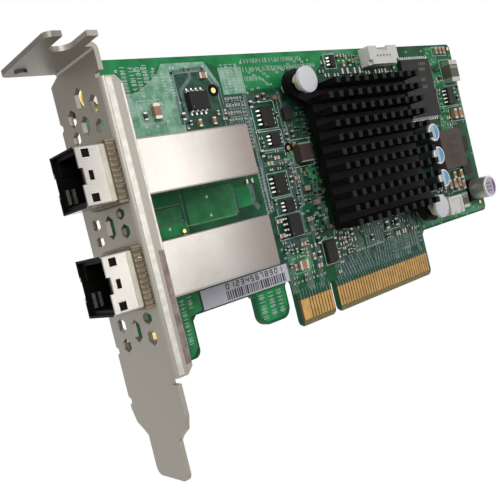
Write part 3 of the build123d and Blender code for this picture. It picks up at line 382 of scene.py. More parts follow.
TRACE_W, FOLDED_W, TRACE_UP = 0.14, 0.21, 0.035
TRACES = [
    # line, number side by side, pitch
    ([(-14.6, 27.6), (-14.6, 35.5), (-14, 36.1), (-14, 55.2)], 3, 0.34),
    ([(-3.4, 55), (-3.4, 28.4), (-5, 26.6), (-5, 21)], 3, 0.36),
    ([(-12.9, 38.4), (-5, 38.4), (-3.9, 37.2), (-3.9, 33)], 3, 0.36),
    ([(-12.9, 41.2), (-6.4, 41.2), (-2, 36.8), (-2, 32.2)], 2, 0.4),
    ([(-24.6, 30), (-24.6, 29), (-38.2, 29), (-38.2, 35.6)], 1, 0.4), ([(-24, 35.4), (-24, 29.2)], 2, 0.35),
    ([(-56, 33.8), (-38.6, 33.8)], 1, 0.4), ([(-56, 30.4), (-38.6, 30.4)], 1, 0.4),
    ([(-45.9, 52.1), (-42.7, 52.1)], 2, 0.4), ([(-38.4, 51.8), (-37.6, 50.8), (-37.6, 46.8)], 3, 0.32),
    ([(-19.4, 35.3), (-18.6, 34.2), (-18.6, 30.4), (-17.6, 29.2)], 4, 0.34),
    ([(-11.6, 20), (-11.6, 15.6), (-12.6, 14.4), (-12.6, 8)], 5, 0.45),
    ([(-6, 19.8), (-6, 14.6), (-7.4, 12.6), (-7.4, 7.6)], 6, 0.45),
    ([(-2.4, 24), (-2.4, 13), (-3.2, 12), (-3.2, 7.4)], 4, 0.45),
    ([(1.8, 35), (1.8, 27), (3, 25.6), (3, 20.6)], 4, 0.5), ([(3, 11.4), (3, 7.4)], 4, 0.55),
    ([(10.9, 20), (10.9, 17.4), (12.6, 14.6), (12.6, 12.6)], 9, 0.44),
    ([(25.6, 19.8), (25.6, 15.2), (26.6, 14), (26.6, 7.4)], 4, 0.44),
    ([(31, 19.8), (31, 15.6), (32, 14.6), (32, 7.4)], 4, 0.44),
    ([(36, 19.8), (36, 15.6), (36.8, 14.8), (36.8, 7.4)], 4, 0.44), ([(39.2, 20), (39.2, 8)], 2, 0.5),
    ([(61.6, 59.6), (61.6, 56.4), (63.6, 54), (63.6, 53)], 3, 0.4),
    ([(61.2, 46.4), (61.2, 41.2), (63, 39.6), (66.8, 39.6)], 3, 0.4),
    ([(42, 14), (60, 14), (62, 13.4), (73, 13.4)], 3, 0.45), ([(44.6, 60), (44.6, 57)], 3, 0.5),
    ([(16, 63.6), (26, 63.6), (28.6, 61), (28.6, 57.4)], 3, 0.5), ([(-33.4, 49.4), (-31.4, 51.4),
    (-31.4, 57.2), (-28.2, 59.6), (-28.2, 62), (-23.4, 62), (-20.9, 57.4), (-20.9, 47.2)], 3, 0.26),
    ([(-50.6, 16.4), (-50.6, 5)], 4, 0.7)]
lines = [p for line, count, pitch in TRACES for p in bundle(line, count, pitch)]
# tuned pairs between the fingers and the controller: rows of short folded zigzags
folded = [zigzag(x, 7.7, 12.4 if k % 3 else 11.0, 0.36, 0.3, -0.12, 0.3 if x < 17.5 else -0.075)
          for k, x in enumerate(np.arange(4.8, 33.0, 1.06))]
folded += [zigzag(x, 12.9, 18.8, 0.42, 0.28, -0.28) for x in np.arange(15.8, 23.4, 0.98)]
folded += [zigzag(x, 9.2, 13.4, 0.4, 0.28, -0.24) for x in np.arange(24.2, 37.2, 1.1)]
# short stubs that drop from the tuned pairs to the fingers
lines += [[(x, 6.1), (x, 7.0), (x - 0.4, 7.6)] for x in np.arange(1.5, 38.6, 1.0)]
lines += [[(x, 6.1), (x, 8.6)] for x in np.arange(-11.5, -1.0, 1.0)]
trace_green = finish("trace_under_mask", (0.11, 0.185, 0.172), 0.34, mottle=0.0, mottle_mm=1.2, gloss=0.15,
                     second=(0.27, 0.36, 0.35))
add_piece("folded_traces", runs(folded, FOLDED_W, FACE - TRACE_UP - 0.006, FACE), trace_green)
add_piece("front_traces", runs(lines, TRACE_W, FACE - TRACE_UP, FACE), trace_green)


# Places on the component side that parts already stand on: a map of half-millimetre cells,
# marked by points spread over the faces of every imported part, so that print keeps off them.
CELL, MAP_X0, MAP_Z0, MAP_SIZE = 0.5, -60.0, 0.0, (280, 140)
LARGE_PARTS = ("upper_cage", "lower_cage", "controller_chip", "flash_chip", "power_inductor", "small_inductor",
               "polymer_base", "electrolytic_bases", "wire_header", "aux_header", "label")
SMALL_PARTS = ("small_outline_chips", "small_outline_leads", "logic_chips", "logic_leads", "flash_leads",
               "ceramic_capacitors", "ceramic_ends", "resistors", "resistor_ends", "tantalum_capacitors",
               "tantalum_ends", "bracket_screws", "push_pins")
taken = np.zeros(MAP_SIZE, dtype=bool)


def take(x0, x1, z0, z1, room=0.35):
    """Marks the cells under a rectangle, with some room around it."""
    i0, i1 = [int((v - MAP_X0) / CELL) for v in (x0 - room, x1 + room)]
    j0, j1 = [int((v - MAP_Z0) / CELL) for v in (z0 - room, z1 + room)]
    taken[max(i0, 0):i1 + 1, max(j0, 0):j1 + 1] = True


def free(x, z, w=0.0, h=0.0):
    """True where no part stands within the rectangle about x, z."""
    i0, i1 = int((x - w / 2 - MAP_X0) / CELL), int((x + w / 2 - MAP_X0) / CELL)
    j0, j1 = int((z - h / 2 - MAP_Z0) / CELL), int((z + h / 2 - MAP_Z0) / CELL)
    return not taken[i0:i1 + 1, j0:j1 + 1].any()


for name in LARGE_PARTS:
    low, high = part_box(name)
    take(low.x / MM, high.x / MM, low.z / MM, high.z / MM)
u, v = np.meshgrid(np.linspace(0, 1, 6), np.linspace(0, 1, 6))
u, v = u[u + v <= 1.001], v[u + v <= 1.001]
for name in SMALL_PARTS:
    mesh = nodes[name].data
    mesh.calc_loop_triangles()
    co = np.empty(len(mesh.vertices) * 3)
    tri = np.empty(len(mesh.loop_triangles) * 3, dtype=np.int32)
    mesh.vertices.foreach_get("co", co)
    mesh.loop_triangles.foreach_get("vertices", tri)
    a, b, c = (co.reshape(-1, 3) / MM)[tri.reshape(-1, 3)].transpose(1, 0, 2)[:, :, None, :]
    spots = a + (b - a) * u[None, :, None] + (c - a) * v[None, :, None]
    i = ((spots[..., 0] - MAP_X0) / CELL).astype(int).ravel()
    j = ((spots[..., 2] - MAP_Z0) / CELL).astype(int).ravel()
    for di in (-1, 0, 1):
        for dj in (-1, 0, 1):
            taken[np.clip(i + di, 0, MAP_SIZE[0] - 1), np.clip(j + dj, 0, MAP_SIZE[1] - 1)] = True


# Chip resistors and capacitors too small for the plain solids: bodies of black film or brown
# ceramic between two tinned ends, soldered flat. Some rows are listed one by one, the rest come from a seeded draw.
def two_ended(rows):
    """Bodies and ends from rows of x, z, length, width, height and 1 where it stands upright:
    each is three boxes in line, the ends a quarter of the length and a little larger."""
    x, z, length, width, tall, up = np.asarray(rows, float).T
    made_body, made_ends = [], []
    for s, share, grow in ((0, 0.56, 0.0), (-1, 0.24, 0.03), (1, 0.24, 0.03)):
        half, mid = length * share / 2, s * length * 0.39
        hx = np.where(up > 0, width / 2 + grow, half)
        hz = np.where(up > 0, half, width / 2 + grow)
        cx, cz = x + np.where(up > 0, 0, mid), z + np.where(up > 0, mid, 0)
        row = np.stack([cx - hx, cx + hx, FACE - tall - grow, np.full_like(x, FACE), cz - hz, cz + hz], axis=1)
        (made_ends if s else made_body).append(row)
    return np.concatenate(made_body), np.concatenate(made_ends)


def lay(x, z, length, width, tall, up, brown, room):
    """One chip part, which also takes its place on the map."""
    (brown_rows if brown else black_rows).append((x, z, length, width, tall, up))
    w, h = (width, length) if up else (length, width)
    take(x - w / 2, x + w / 2, z - h / 2, z + h / 2, room)


draw = np.random.default_rng(11)
REGIONS = [
    # x0, x1, z0, z1, how many, share of brown ones
    (-13.2, 4.4, 42.6, 54.4, 60, 0.1), (-13.2, 4.2, 27.4, 41.6, 52, 0.25),
    (-13.4, 4.6, 11.4, 21.6, 44, 0.35), (4.6, 10.4, 13, 19.4, 16, 0.3), (14.6, 29.6, 56.6, 62.8, 34, 0.1),
    (23.4, 38, 13.6, 19.6, 18, 0.2), (43.8, 66.6, 20.2, 25.8, 34, 0.4), (61.8, 73.6, 44.6, 54, 12, 0.2),
    (-55, -42.2, 15.2, 18, 3, 0.5), (-33, -20.6, 47.4, 52, 8, 0.5), (60.6, 66.6, 24, 44, 14, 0.3),
    (30, 46, 56.8, 59, 8, 0.1)]
HAND_PLACED = [
    # x, z, length, width, height, upright, brown
    (15, 57.7, 1.6, 0.8, 0.5, 0, 0), (18.6, 57.6, 1.6, 0.8, 0.5, 0, 0), (22, 58.4, 2.6, 1.4, 0.8, 0, 0),
    (26.8, 58.3, 2.6, 1.5, 0.9, 0, 0), (31.4, 57.6, 1.6, 0.8, 0.5, 0, 0), (35.6, 57.6, 2.2, 1.2, 0.6, 0, 0),
    (38.4, 57.7, 2, 1.2, 0.6, 0, 0), (24.8, 16.9, 2, 1.2, 0.6, 1, 0), (28.9, 17, 2, 1.2, 0.6, 1, 0),
    (35.9, 17.1, 2, 1.2, 0.6, 0, 0), (28.4, 13.9, 1.5, 1.1, 0.6, 0, 1), (31.2, 14, 1.5, 1.1, 0.6, 0, 1),
    (3, 9.4, 1.1, 0.7, 0.5, 0, 1), (6, 17.2, 1.3, 0.7, 0.5, 0, 0), (6, 15.8, 1.3, 0.7, 0.5, 0, 0),
    (8.6, 18, 1.2, 0.6, 0.4, 0, 0), (-13.2, 25.1, 1.6, 0.9, 0.7, 0, 1), (-13.2, 21.7, 1.6, 0.9, 0.7, 0, 1),
    (-3.2, 23.8, 1.5, 1, 0.7, 0, 1), (0.8, 27.3, 2.4, 1.2, 0.7, 0, 1), (-3.4, 12.5, 1.5, 0.9, 0.7, 0, 1),
    (-11.2, 13.8, 1.4, 0.8, 0.6, 1, 1), (-1.8, 18.3, 1.6, 0.9, 0.6, 1, 0), (3.6, 20.7, 1.6, 0.9, 0.6, 0, 1),
    (-2.2, 41.9, 1, 0.8, 0.5, 1, 1), (61, 25, 2, 1.2, 0.7, 1, 1), (64.4, 24.9, 2.6, 1.5, 0.8, 1, 1),
    (61.2, 21.4, 2, 1.2, 0.7, 1, 1), (64.4, 21.6, 2.6, 1.5, 0.8, 1, 1), (-19, 35.5, 2, 0.9, 0.6, 0, 0),
    (-48.6, 13.2, 2.6, 1.5, 0.9, 1, 1)]
SMALL_SIZE, LARGE_SIZE, TRIES = (1.0, 0.5, 0.4), (1.6, 0.8, 0.5), 12
black_rows, brown_rows = [], []
for row in HAND_PLACED:
    lay(*row, 0.2)
for x0, x1, z0, z1, count, brown_share in REGIONS:
    placed = 0
    for _ in range(count * TRIES):
        if placed >= count:
            break
        x = round(draw.uniform(x0, x1) * 2) / 2
        z = round(draw.uniform(z0, z1) * 2) / 2
        up = float(draw.random() < 0.5)
        length, width, tall = LARGE_SIZE if draw.random() < 0.35 else SMALL_SIZE
        w, h = (width, length) if up else (length, width)
        if free(x, z, w + 0.2, h + 0.2):
            lay(x, z, length, width, tall, up, draw.random() < brown_share, 0.15)
            placed += 1
black_film = finish("black_film", (0.012, 0.012, 0.014), 0.35, mottle=0.2, mottle_mm=1.0, gloss=0.3)
tan_ceramic = finish("tan_ceramic", (0.3, 0.165, 0.085), 0.42, mottle=0.15, mottle_mm=2.0)
tin = finish("tinned_copper", (0.5, 0.49, 0.45), 0.34, metal=0.85, mottle=0.12, mottle_mm=0.8)
black_bodies, black_ends = two_ended(black_rows)
brown_bodies, brown_ends = two_ended(brown_rows)
add_piece("chip_resistor_bodies", blocks(black_bodies), black_film)
add_piece("chip_capacitor_bodies", blocks(brown_bodies), tan_ceramic)
add_piece("chip_part_ends", blocks(np.concatenate([black_ends, brown_ends])), tin)
coat(black_film, "resistors")
coat(tan_ceramic, "ceramic_capacitors")
coat(tin, "small_outline_leads", "logic_leads", "flash_leads", "ceramic_ends", "resistor_ends", "tantalum_ends",
     "inductor_terminals")


# Vias: drilled and plated holes between the copper layers. Each is a tinned ring round a near-black
# disc of painted shade for its bore, a few tenths of a millimetre across.
def rounds(centres, radius, y0, y1, sides=8):
    """Closed discs: a regular polygon about each centre, carried from y0 to y1."""
    turn = 2 * np.pi * np.arange(sides) / sides
    rim = radius * np.stack([np.cos(turn), np.sin(turn)], axis=1)
    return slabs(np.asarray(centres, float).reshape(-1, 1, 2) + rim, y0, y1)


VIA_ROWS = [
    # x0, z0, x1, z1, how many
    (-14.9, 53.4, -14.9, 43, 14), (-3.9, 53.4, -3.9, 43.4, 13), (-15.3, 38, -15.3, 27.6, 14),
    (-14.2, 37.6, -14.2, 27.8, 13), (-4, 36.4, -4, 28.8, 10), (-19.8, 54.4, -15.4, 54.4, 6),
    (-19.8, 52.8, -15.4, 52.8, 6), (-19.8, 51.2, -15.4, 51.2, 6), (-19.8, 49.6, -15.4, 49.6, 6),
    (-12.4, 17.2, -5, 17.2, 9), (-12.4, 21, -5, 21, 8), (5, 12.9, 22, 12.9, 17), (15.6, 19.2, 23, 19.2, 8),
    (24, 19.8, 37, 19.8, 12), (38.2, 10, 38.2, 19, 9), (61.6, 63, 65, 63, 3), (60.8, 40.2, 66, 40.2, 5),
    (48.8, 19.9, 59.8, 19.9, 8), (-12.4, 10.2, -2, 10.2, 9), (-55, 61.9, -24, 62, 8),
    (30.6, 56.9, 45.4, 56.9, 11)]
LONE_VIAS = [
    (-37, 54.7), (-32.5, 54.5), (-36.5, 51), (-32.5, 51), (-32, 62), (-40, 62.2), (-42.4, 54.2),
    (-39.9, 55.6), (-42.1, 50.3), (-39.4, 50.2), (-36.6, 48.2), (-32.4, 48.2), (-31.5, 34.1), (-31.4, 30.1),
    (-42.6, 29.2), (-47, 34.4), (63.6, 59.9), (62, 49.9)]
VIA_R, BORE_R, VIA_UP, BORE_UP = 0.27, 0.15, 0.05, 0.01
vias = [np.stack([np.linspace(x0, x1, n), np.linspace(z0, z1, n)], axis=1) for x0, z0, x1, z1, n in VIA_ROWS]
scatter = np.stack([draw.uniform(-15, 74, 420), draw.uniform(12.5, 62.5, 420)], axis=1)
vias = np.concatenate(vias + [np.array(LONE_VIAS), scatter])
vias = np.array([p for p in vias if free(p[0], p[1], 0.4, 0.4)])
bore_painted_shade = finish("via_bore", (0.008, 0.022, 0.014), 0.7, mottle=0.2)
add_piece("via_rings", rounds(vias, VIA_R, FACE - VIA_UP, FACE), tin)
add_piece("via_bores", rounds(vias, BORE_R, FACE - VIA_UP - BORE_UP, FACE - VIA_UP + BORE_UP), bore_painted_shade)


# Fiducials and test pads: bare gold discs in round windows of dark mask, for the placing
# machine's camera.
FIDUCIALS = [
    (-22.7, 56.5, 1.4, 0.62), (-4.1, 41.3, 1.3, 0.55), (-2.3, 42.3, 0.5, 0.34), (73.2, 62.9, 0.9, 0.62),
    (71.9, 15, 0.9, 0.62), (60.6, 60.6, 0.5, 0.42), (-39.2, 28.2, 0.6, 0.45)]
gold = finish("hard_gold", (0.5, 0.29, 0.088), 0.33, metal=0.75, mottle=0.14, mottle_mm=2.0)
bright_gold = finish("bright_gold", (0.86, 0.66, 0.26), 0.3, metal=0.7, mottle=0.1, mottle_mm=1.0)
window_dark = finish("fiducial_window", (0.003, 0.004, 0.003), 0.5, mottle=0.2, gloss=0.06)
add_piece("fiducial_windows", join([rounds([(x, z)], big, FACE - 0.06, FACE, 28) for x, z, big, _ in FIDUCIALS]),
          window_dark)
add_piece("fiducial_dots", join([rounds([(x, z)], small, FACE - 0.09, FACE, 24) for x, z, _, small in FIDUCIALS]),
          bright_gold)


# Silkscreen: white ink on the mask. Outlines stand round the chips, and rows of plain short
# strokes stand beside them.
def hoop(x0, x1, z0, z1):
    """A rectangle as a line that ends where it began."""
    return corners(x0, x1, z0, z1) + [(x0, z0)]


INK_UP, OUTLINE_W, STROKE_W, RAIL_W, EDGE_W = 0.055, 0.17, 0.15, 0.22, 0.75
CHIP_FRAMES = [
    # x0, x1, z0, z1 of each outline
    (-13, -5.6, 46.5, 52.9), (-13, -5.2, 41.6, 46), (-13.2, -6.6, 30.6, 36.2), (-12.4, -6.4, 26.3, 30.2),
    (-13.6, -5.4, 20.6, 26.2), (-3.4, 3.4, 36.4, 43), (-0.6, 4, 11.8, 18), (-11.4, -6.4, 12.2, 15.8),
    (15.6, 20, 59.4, 63.2), (62, 74, 45.6, 53.4), (66.2, 74, 40.8, 45.2), (64.4, 71.6, 61, 63.6),
    (59, 66.2, 20.2, 26.6), (44.4, 50.8, 22, 41.2), (66.9, 73.4, 51.6, 59.6), (4.4, 9.8, 14.8, 19.6),
    (23.4, 30.4, 15.4, 19), (-43.2, -37.4, 50.8, 55.6)]
PRINT_ROWS = [
    # x0, z0, length of the row, stroke height, strokes, 1 where the row runs down the board
    (-12.6, 63.1, 20, 1.05, 20, 0), (-12.6, 61.1, 25, 1.05, 24, 0), (-12.6, 59, 5.4, 1.05, 6, 0),
    (-45.2, 62.6, 9.8, 1.1, 14, 1), (-43.2, 62.4, 5, 1.1, 7, 1), (-41.6, 62.4, 6.6, 1.1, 9, 1),
    (-40, 62.8, 4.2, 1.2, 6, 1), (-38, 61.4, 3.8, 1, 6, 1), (-35.8, 60.8, 5.2, 1, 8, 1),
    (-33.8, 60, 4.2, 0.9, 6, 1), (-24, 10.3, 5.6, 1.5, 7, 1), (-21.2, 10.3, 5.6, 1.5, 7, 1),
    (-18.6, 10.3, 5.6, 1.4, 7, 1), (-19.3, 62, 6.4, 0.8, 10, 1), (-17.9, 62, 6.4, 0.8, 10, 1),
    (-16.5, 62, 6.4, 0.8, 10, 1), (-15.1, 62, 6.4, 0.8, 10, 1), (-46.2, 16.2, 11.6, 1.1, 15, 1),
    (-44.6, 14.6, 9.2, 1, 12, 1), (-42.6, 16.4, 4.4, 0.9, 6, 1), (20.6, 62.6, 3.4, 1, 4, 0),
    (21, 60.9, 6, 0.9, 6, 0), (24.6, 62.6, 3.6, 0.9, 4, 0), (66.8, 59.9, 3, 0.8, 3, 0)]
strokes = []
for x0, z0, length, tall, count, down in PRINT_ROWS:
    step = length / count
    for k in range(count):
        kinds = draw.integers(0, 4)
        x, z = (x0, z0 - k * step) if down else (x0 + k * step, z0)
        w, h = (tall, step * 0.62) if down else (step * 0.62, tall)
        if not free(x + w / 2, z - h / 2, w * 0.6, h * 0.6):
            continue
        left, right, top, foot = x, x + w, z, z - h
        across, level = (left + right) / 2, (top + foot) / 2
        strokes.append([(left, top), (right, top)] if down else [(left, top), (left, foot)])
        if kinds in (0, 2):
            strokes.append([(left, foot), (right, foot)] if down else [(right, top), (right, foot)])
        if kinds in (1, 2):
            strokes.append([(across, top - h * 0.2), (across, foot + h * 0.2)] if down
                           else [(left + w * 0.2, level), (right - w * 0.2, level)])
# short plain marks beside the small parts, three side by side
marks_at = np.concatenate([
    np.stack([draw.uniform(-13.4, 66, 520), draw.uniform(12.8, 62.8, 520)], axis=1),
    np.stack([draw.uniform(-13.4, 4.6, 420), draw.uniform(12.8, 54.8, 420)], axis=1)])
strokes += [[(x + dx, z - 0.22), (x + dx, z + 0.22)] for x, z in marks_at if free(x, z, 1.2, 0.8)
            for dx in (-0.4, -0.04, 0.32)]
# ladders of holes, drawn as discs of painted shade, between two pale lines, beside the chips
LADDERS = [(-14.95, 28.0, 42.4), (-14.95, 43.2, 54.4), (-3.9, 43.6, 54.2), (-12.9, 28.0, 30.0), (-4.0, 28.6, 37.2)]
rails = [[(x + side, z0), (x + side, z1)] for x, z0, z1 in LADDERS for side in (-0.55, 0.55)]
rungs = [(x, z) for x, z0, z1 in LADDERS for z in np.arange(z0 + 0.4, z1, 0.78)]
# a block of fine print beside the upper socket's end
for x in np.arange(-19.9, -15.8, 0.62):
    for z in np.arange(47.2, 54.8, 0.6):
        if draw.random() < 0.72 and free(x, z):
            rails.append([(x - 0.2, z), (x + 0.2, z)] if draw.random() < 0.5 else [(x, z - 0.2), (x, z + 0.2)])
rail_grey = finish("rail_grey", (0.2, 0.27, 0.28), 0.5, mottle=0.25, mottle_mm=1.0)
add_piece("via_ladder_rails", runs(rails, RAIL_W, FACE - INK_UP, FACE), rail_grey)
add_piece("via_ladder_holes", rounds(rungs, 0.26, FACE - INK_UP - 0.004, FACE), bore_painted_shade)
# a broad grey copper edge that runs round the corner chip
edge_paths = [[(-33.0, 61.0), (-29.4, 61.4), (-24.4, 61.4), (-21.2, 57.0), (-20.8, 47.0)],
              [(-33.0, 61.0), (-33.0, 50.0)], [(-31.8, 49.6), (-31.8, 47.0)]]
edge_grey = finish("edge_grey", (0.07, 0.11, 0.108), 0.4, mottle=0.0, mottle_mm=0.8, gloss=0.15,
                   second=(0.16, 0.21, 0.21))
add_piece("copper_edge", runs(edge_paths, EDGE_W, FACE - TRACE_UP, FACE), edge_grey)
white_ink = finish("white_ink", (0.38, 0.47, 0.45), 0.55, mottle=0.12, mottle_mm=1.5)
add_piece("ink_outlines", runs([hoop(*row) for row in CHIP_FRAMES], OUTLINE_W, FACE - INK_UP, FACE), white_ink)
add_piece("ink_strokes", runs(strokes, STROKE_W, FACE - INK_UP, FACE), white_ink)


# Edge connector: copper pads plated with nickel and hard gold on both sides of the tongue. The
# laminate between them is bare and amber, and the lower edge is ground to a slope.
def outward(made):
    """The same mesh with its faces turned outwards, by Blender's own normals."""
    points, faces = made
    mesh = bpy.data.meshes.new("turned")
    mesh.from_pydata(points.tolist(), [], faces)
    work = bmesh.new()
    work.from_mesh(mesh)
    bmesh.ops.recalc_face_normals(work, faces=work.faces)
    faces = [[v.index for v in f.verts] for f in work.faces]
    work.free()
    bpy.data.meshes.remove(mesh)
    return points, faces


coat(gold, "edge_contacts")
PIN_PITCH, PIN_W, PIN_TOP, BEVEL_TOP, PINS_LEFT, PINS_RIGHT, FIRST = 1.0, 0.7, 6.1, 1.3, 11, 38, 1.5
KEY_HALF, END_ROOM, BEVEL_D, BEVEL_SKIN = 0.95, 1.1, 0.45, 0.02
left_end = -FIRST - PIN_PITCH * (PINS_LEFT - 1) - END_ROOM
right_end = FIRST + PIN_PITCH * (PINS_RIGHT - 1) + END_ROOM
beds, bevels = [], []
for face, side in ((FACE, -1), (BACK, 1)):
    for x0, x1 in ((left_end, -KEY_HALF), (KEY_HALF, right_end)):
        beds.append((x0, x1, *sorted((face + side * 0.012, face - side * 0.02)), BEVEL_TOP + 0.02, PIN_TOP + 0.2))
    ring = [(face + side * BEVEL_SKIN, BEVEL_TOP), (face - side * (BEVEL_D - BEVEL_SKIN), 0.01),
            (face - side * (BEVEL_D - BEVEL_SKIN + 0.05), 0.01), (face - side * 0.05, BEVEL_TOP)]
    for x0, x1 in ((left_end + 0.6, -KEY_HALF - 0.5), (KEY_HALF + 0.5, right_end - 0.6)):
        bevels.append(carried(np.array([[[(x, y, z) for y, z in ring] for x in (x0, x1)]])))
add_piece("contact_beds", blocks(beds), finish("bare_laminate", (0.03, 0.014, 0.005), 0.5, mottle=0.25,
                                               mottle_mm=1.0))
add_piece("bevel_skins", outward(join(bevels)), finish("ground_bevel", (0.15, 0.115, 0.036), 0.55, mottle=0.18,
                                                       mottle_mm=0.8))
pads = [-FIRST - PIN_PITCH * i for i in range(PINS_LEFT)] + [FIRST + PIN_PITCH * i for i in range(PINS_RIGHT)]
add_piece("solder_side_pads", blocks([(x - PIN_W / 2, x + PIN_W / 2, BACK, BACK + 0.06, BEVEL_TOP + 0.05, PIN_TOP)
                                      for x in pads]), gold)


# Bracket: one piece of nickel-plated steel sheet, cut, bent and pressed. The plating is satin
# with a faint grain along the sheet's rolling direction; the bright strips on its flange are painted highlights.
# the colour is painted darker towards the tab end, from x -59 out to -68.5: painted shade on the tab's underside
coat(finish("satin_nickel", (0.19, 0.175, 0.15), 0.38, metal=0.7, mottle=0.06, mottle_mm=12.0, grain_mm=0.15,
            painted_shade_ramp=(-68.5, -59.0, (0.325, 0.3, 0.26))), "bracket")
FLANGE_Y, FLANGE_OUT, FLANGE_IN, FLANGE_UP = -14.02, -57.15, -53.97, 0.03
# painted highlights on the flange: a bright strip along the bend and one along the upper part of
# its free edge, and a purple-brown strip of painted shade along the lower part of that edge
add_piece("flange_highlight_strips", plates([(FLANGE_OUT, -55.95, 4.0, 57.2), (-54.35, FLANGE_IN, 26.0, 55.9)], FLANGE_Y,
                                FLANGE_UP, 0.02),
          finish("flange_painted_highlight", (0.5, 0.485, 0.45), 0.34, metal=0.85, mottle=0.1, mottle_mm=1.2))
add_piece("flange_painted_brown_shade", plates([(-55.15, FLANGE_IN, 5.4, 26.0)], FLANGE_Y, FLANGE_UP, 0.02),
          finish("flange_painted_brown_shade", (0.19, 0.145, 0.136), 0.36, metal=0.8, mottle=0.25, mottle_mm=1.5))


# Bracket screws: plated pan heads with crossed slots, turned in from the component side, on
# bare gold rings on the board.
SCREW_X, SCREW_Z, LAND_R, HEAD_FACE, SLOT_HALF, SLOT_W = -51.6, (57.4, 6.7), 3.9, FACE - 1.7, 1.35, 0.5
coat(finish("screw_steel", (0.45, 0.44, 0.41), 0.32, metal=0.9, mottle=0.1, mottle_mm=2.0), "bracket_screws")
add_piece("screw_lands", rounds([(SCREW_X, z) for z in SCREW_Z], LAND_R, FACE - 0.03, FACE, 36), bright_gold)
# the crossed slots are near-black bars on the heads: painted shade of the slot recesses
crosses = []
for z in SCREW_Z:
    for half_x, half_z, up in ((SLOT_HALF, SLOT_W / 2, 0.02), (SLOT_W / 2, SLOT_HALF, 0.03)):
        crosses.append((SCREW_X - half_x, SCREW_X + half_x, HEAD_FACE - up, HEAD_FACE + 0.3, z - half_z, z + half_z))
add_piece("screw_slots", blocks(crosses), finish("slot_painted_shade", (0.02, 0.02, 0.02), 0.6, mottle=0.2))


# Port cages: thin plated sheet folded to a box, joined along its underside, with a folded
# strip and a seam behind the mouth, rows of small spot welds, and pressed lips at its windows.
# the sheet's colour is painted darker and pinker from x -42 to -25 towards the rear: painted shade where the lamps'
# reflection falls off
cage_sheet = finish("cage_sheet", (0.37, 0.35, 0.325), 0.22, metal=0.92, mottle=0.05, mottle_mm=9.0,
                    grain_mm=0.2, bump=0.006, painted_shade_ramp=(-42.0, -25.0, (0.255, 0.212, 0.196)))
coat(cage_sheet, "upper_cage", "lower_cage")
CAGE_FRONT, CAGE_SIDE, CAGE_TOP, NOSE_BOTTOM, PORT_Z = -65.65, 5.225, -13.0, -3.1, (41.1, 22.3)
STRIP_X0, STRIP_X1, STRIP_HALF, SEAM_W, WELD_R = -61.0, -59.95, CAGE_SIDE - 0.3, 0.12, 0.3
LIP_X, LIP_W, WINDOW_SIDE, WINDOW_HALF = -63.9, 0.14, 3.825, 0.725
strips, seams, welds, lips = [], [], [], []
for z in PORT_Z:
    strips.append((STRIP_X0, STRIP_X1, z - STRIP_HALF, z + STRIP_HALF))
    seams.append((STRIP_X1, STRIP_X1 + SEAM_W, CAGE_TOP - 0.02, CAGE_TOP + 0.05, z - STRIP_HALF, z + STRIP_HALF))
    # joint along the lower wall of the nose
    seams.append((CAGE_FRONT + 1.0, -58.6, -8.4, -8.2, z - CAGE_SIDE - 0.02, z - CAGE_SIDE + 0.05))
    welds += [(x, z + dz) for x in np.linspace(-52.0, -29.0, 7) for dz in (CAGE_SIDE - 1.0, 1.0 - CAGE_SIDE)]
    for mid in (z - WINDOW_SIDE, z + WINDOW_SIDE):
        for near in (WINDOW_HALF, -WINDOW_HALF - LIP_W):
            lips.append((LIP_X - WINDOW_HALF - LIP_W, LIP_X + WINDOW_HALF + LIP_W, mid + near, mid + near + LIP_W))
add_piece("cage_strips", plates(strips, CAGE_TOP, 0.05),
          finish("strip_nickel", (0.42, 0.4, 0.32), 0.4, metal=0.8, mottle=0.08, mottle_mm=2.0))
add_piece("cage_seams", blocks(seams), finish("seam_dark", (0.03, 0.028, 0.024), 0.6, mottle=0.2))
add_piece("cage_welds", rounds(welds, WELD_R, CAGE_TOP - 0.02, CAGE_TOP + 0.05, 14), cage_sheet)
add_piece("window_lips", plates(lips, CAGE_TOP, 0.05),
          finish("nose_nickel", (0.5, 0.48, 0.44), 0.38, metal=0.85, mottle=0.08, mottle_mm=3.0))


# Gaskets: rings of curled spring fingers in brownish plated bronze, pressed between each cage
# and the plate. Every finger is a strip that bows outwards by half a sine wave.
def bowed_strips(starts, out, across, length, width, bow, steps=6):
    """Strips that run along X from each start. At a share s of its length a strip stands off by
    bow times sin(pi s) along out; its width lies along across. Closed by a flat underside."""
    s = np.linspace(0, 1, steps)[:, None]
    mid = np.asarray(starts, float)[:, None, :] + s * (length, 0, 0)
    high = mid + (bow * np.sin(np.pi * s) + STRIP_T) * out
    half = np.asarray(across) * width / 2
    return carried(np.stack([mid - half, mid + half, high + half, high - half], axis=2))


gasket_bronze = finish("gasket_bronze", (0.19, 0.155, 0.105), 0.42, metal=0.8, mottle=0.15, mottle_mm=1.0)
coat(gasket_bronze, "upper_gasket", "lower_gasket")
GASKET_X, GASKET_L, GASKET_T, STRIP_T = -59.85, 1.8, 0.35, 0.04
FINGER_PITCH, FINGER_W, BOW = 0.95, 0.78, 0.13
fingers = []
for z in PORT_Z:
    along = z + np.arange(-CAGE_SIDE + 0.55, CAGE_SIDE - 0.3, FINGER_PITCH)
    deep = np.arange(CAGE_TOP + 0.6, NOSE_BOTTOM - 0.3, FINGER_PITCH)
    fingers.append(bowed_strips([(GASKET_X, CAGE_TOP - GASKET_T, a) for a in along], (0, -1, 0), (0, 0, 1),
                                GASKET_L, FINGER_W, BOW))
    for side in (1, -1):
        fingers.append(bowed_strips([(GASKET_X, y, z + side * (CAGE_SIDE + GASKET_T)) for y in deep], (0, 0, side),
                                    (0, 1, 0), GASKET_L, FINGER_W, BOW))
add_piece("gasket_fingers", outward(join(fingers)), gasket_bronze, smooth=True)


